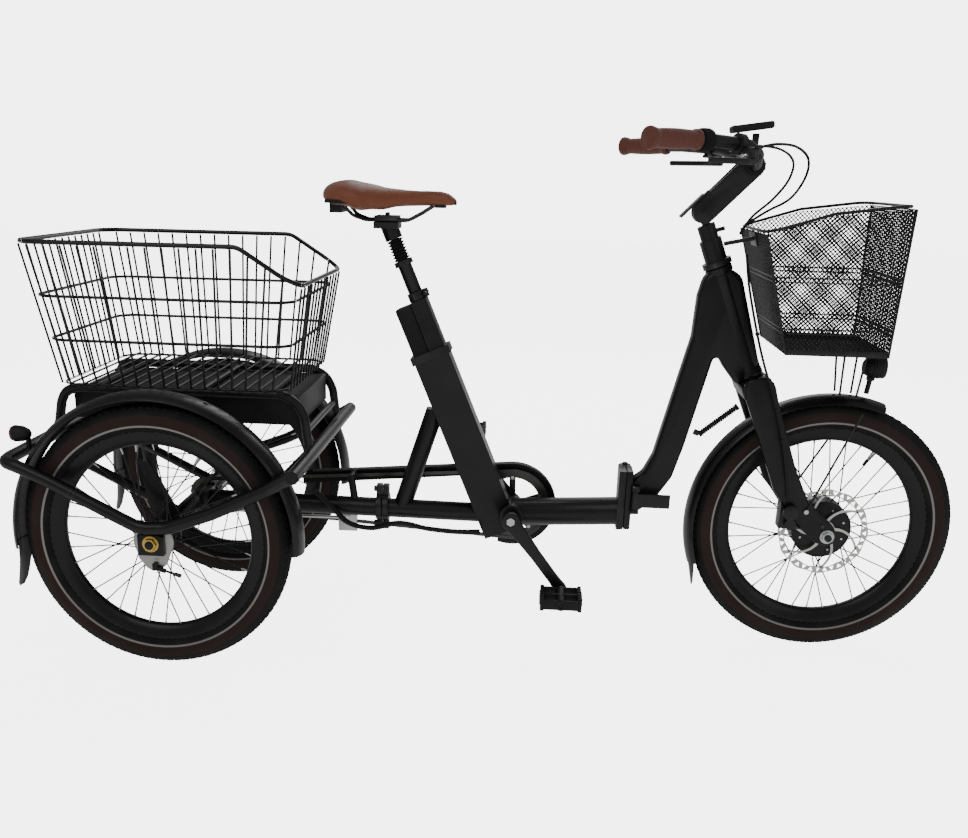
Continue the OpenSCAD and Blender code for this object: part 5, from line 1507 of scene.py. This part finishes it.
lever = {"outline": [(1070, 186), (1074, 198), (1050, 232), (1012, 268), (980, 294), (972, 288), (1002, 258),
                     (1036, 222), (1054, 188)], "low": 958, "thick": 10}


def makeLever(label, hand):
    bm = bmesh.new()
    path = rounded([spot(x, hand * y, lever["low"]) for x, y in lever["outline"]], 20, 4, closed=True)
    face = bm.faces.new([bm.verts.new(p) for p in path])
    made = bmesh.ops.extrude_face_region(bm, geom=[face])
    moved = [g for g in made["geom"] if isinstance(g, bmesh.types.BMVert)]
    bmesh.ops.translate(bm, verts=moved, vec=(0, 0, lever["thick"] * mm))
    rims = [e for e in bm.edges if abs(e.verts[0].co.z - e.verts[1].co.z) < 1e-6]
    bmesh.ops.bevel(bm, geom=rims, offset=3.4 * mm, affect="EDGES", segments=4, profile=0.5, material=-1)
    rodInto(bm, spot(1062, hand * 196, 960), spot(1062, hand * 196, 984), 4, 24, 1)
    addPiece(f"brakeLever_{label}", bm, ["partsBlack", "darkSteel"], f"{label}_brake_lever",
             [f"brake_lever_{label}"])


runs = {
    "right": [(1067, -201, 984.8), (1104, -170, 992), (1150, -110, 990), (1184, -60, 972), (1190, -30, 940),
              (1170, -16, 902), (1128, -22, 878), (1090, -34, 854)],
    "left": [(1067, 201, 984.8), (1110, 160, 996), (1156, 90, 992), (1176, 30, 970), (1168, 4, 936), (1140, -8, 900),
             (1104, -16, 868), (1082, -36, 838)],
    "fork": [(1098, -36, 800), (1108, -46, 740), (1128, -64, 660), (1146, -80, 600), (1170, -84, 540),
             (1196, -84, 460), (1214, -84, 380), (1222, -84, 336)],
    "conduit": [(262, -34, 300), (300, -32, 262), (330, -30, 232), (380, -30, 222), (440, -30, 236), (500, -30, 226),
                (560, -30, 222), (610, -36, 226)],
    "radius": 2.5, "conduitRadius": 6,
}


def makeCables():
    bm = bmesh.new()
    for key in ("right", "left"):
        path = flowing([spot(*p) for p in runs[key]], 8)
        tubeInto(bm, path, runs["radius"], 12)
        rodInto(bm, path[-1], path[-3], 3.2, 12, 1)
    addPiece("controlCableRuns", bm, ["cableBlack", "darkSteel"], "stem", ["control_cables"],
             angle=60)
    bm = bmesh.new()
    tubeInto(bm, flowing([spot(*p) for p in runs["fork"]], 8), runs["radius"], 12)
    for k in (2, 5):
        p, q = spot(*runs["fork"][k]), spot(*runs["fork"][k + 1])
        rodInto(bm, p, p + (q - p).normalized() * 6 * mm, 4, 12)
    addPiece("forkCableRun", bm, "cableBlack", "fork", ["fork_cables"], angle=60)
    bm = bmesh.new()
    path = flowing([spot(*p) for p in runs["conduit"]], 8)
    tubeInto(bm, path, runs["conduitRadius"] - 0.8, 14)
    for p, q in zip(path, path[1:]):
        pieces = max(1, round((q - p).length / (3.2 * mm)))
        for k in range(pieces):
            centre = p.lerp(q, (k + 0.5) / pieces)
            way = (q - p).normalized()
            rodInto(bm, centre - way * 0.8 * mm, centre + way * 0.8 * mm, runs["conduitRadius"], 12)
    addPiece("conduitSleeve", bm, "cableBlack", "rear_frame", ["frame_conduit"])


makeBar()
makeDisplay()
makeLever("right", -1)
makeLever("left", 1)
makeCables()
print("stem, bar and cables")
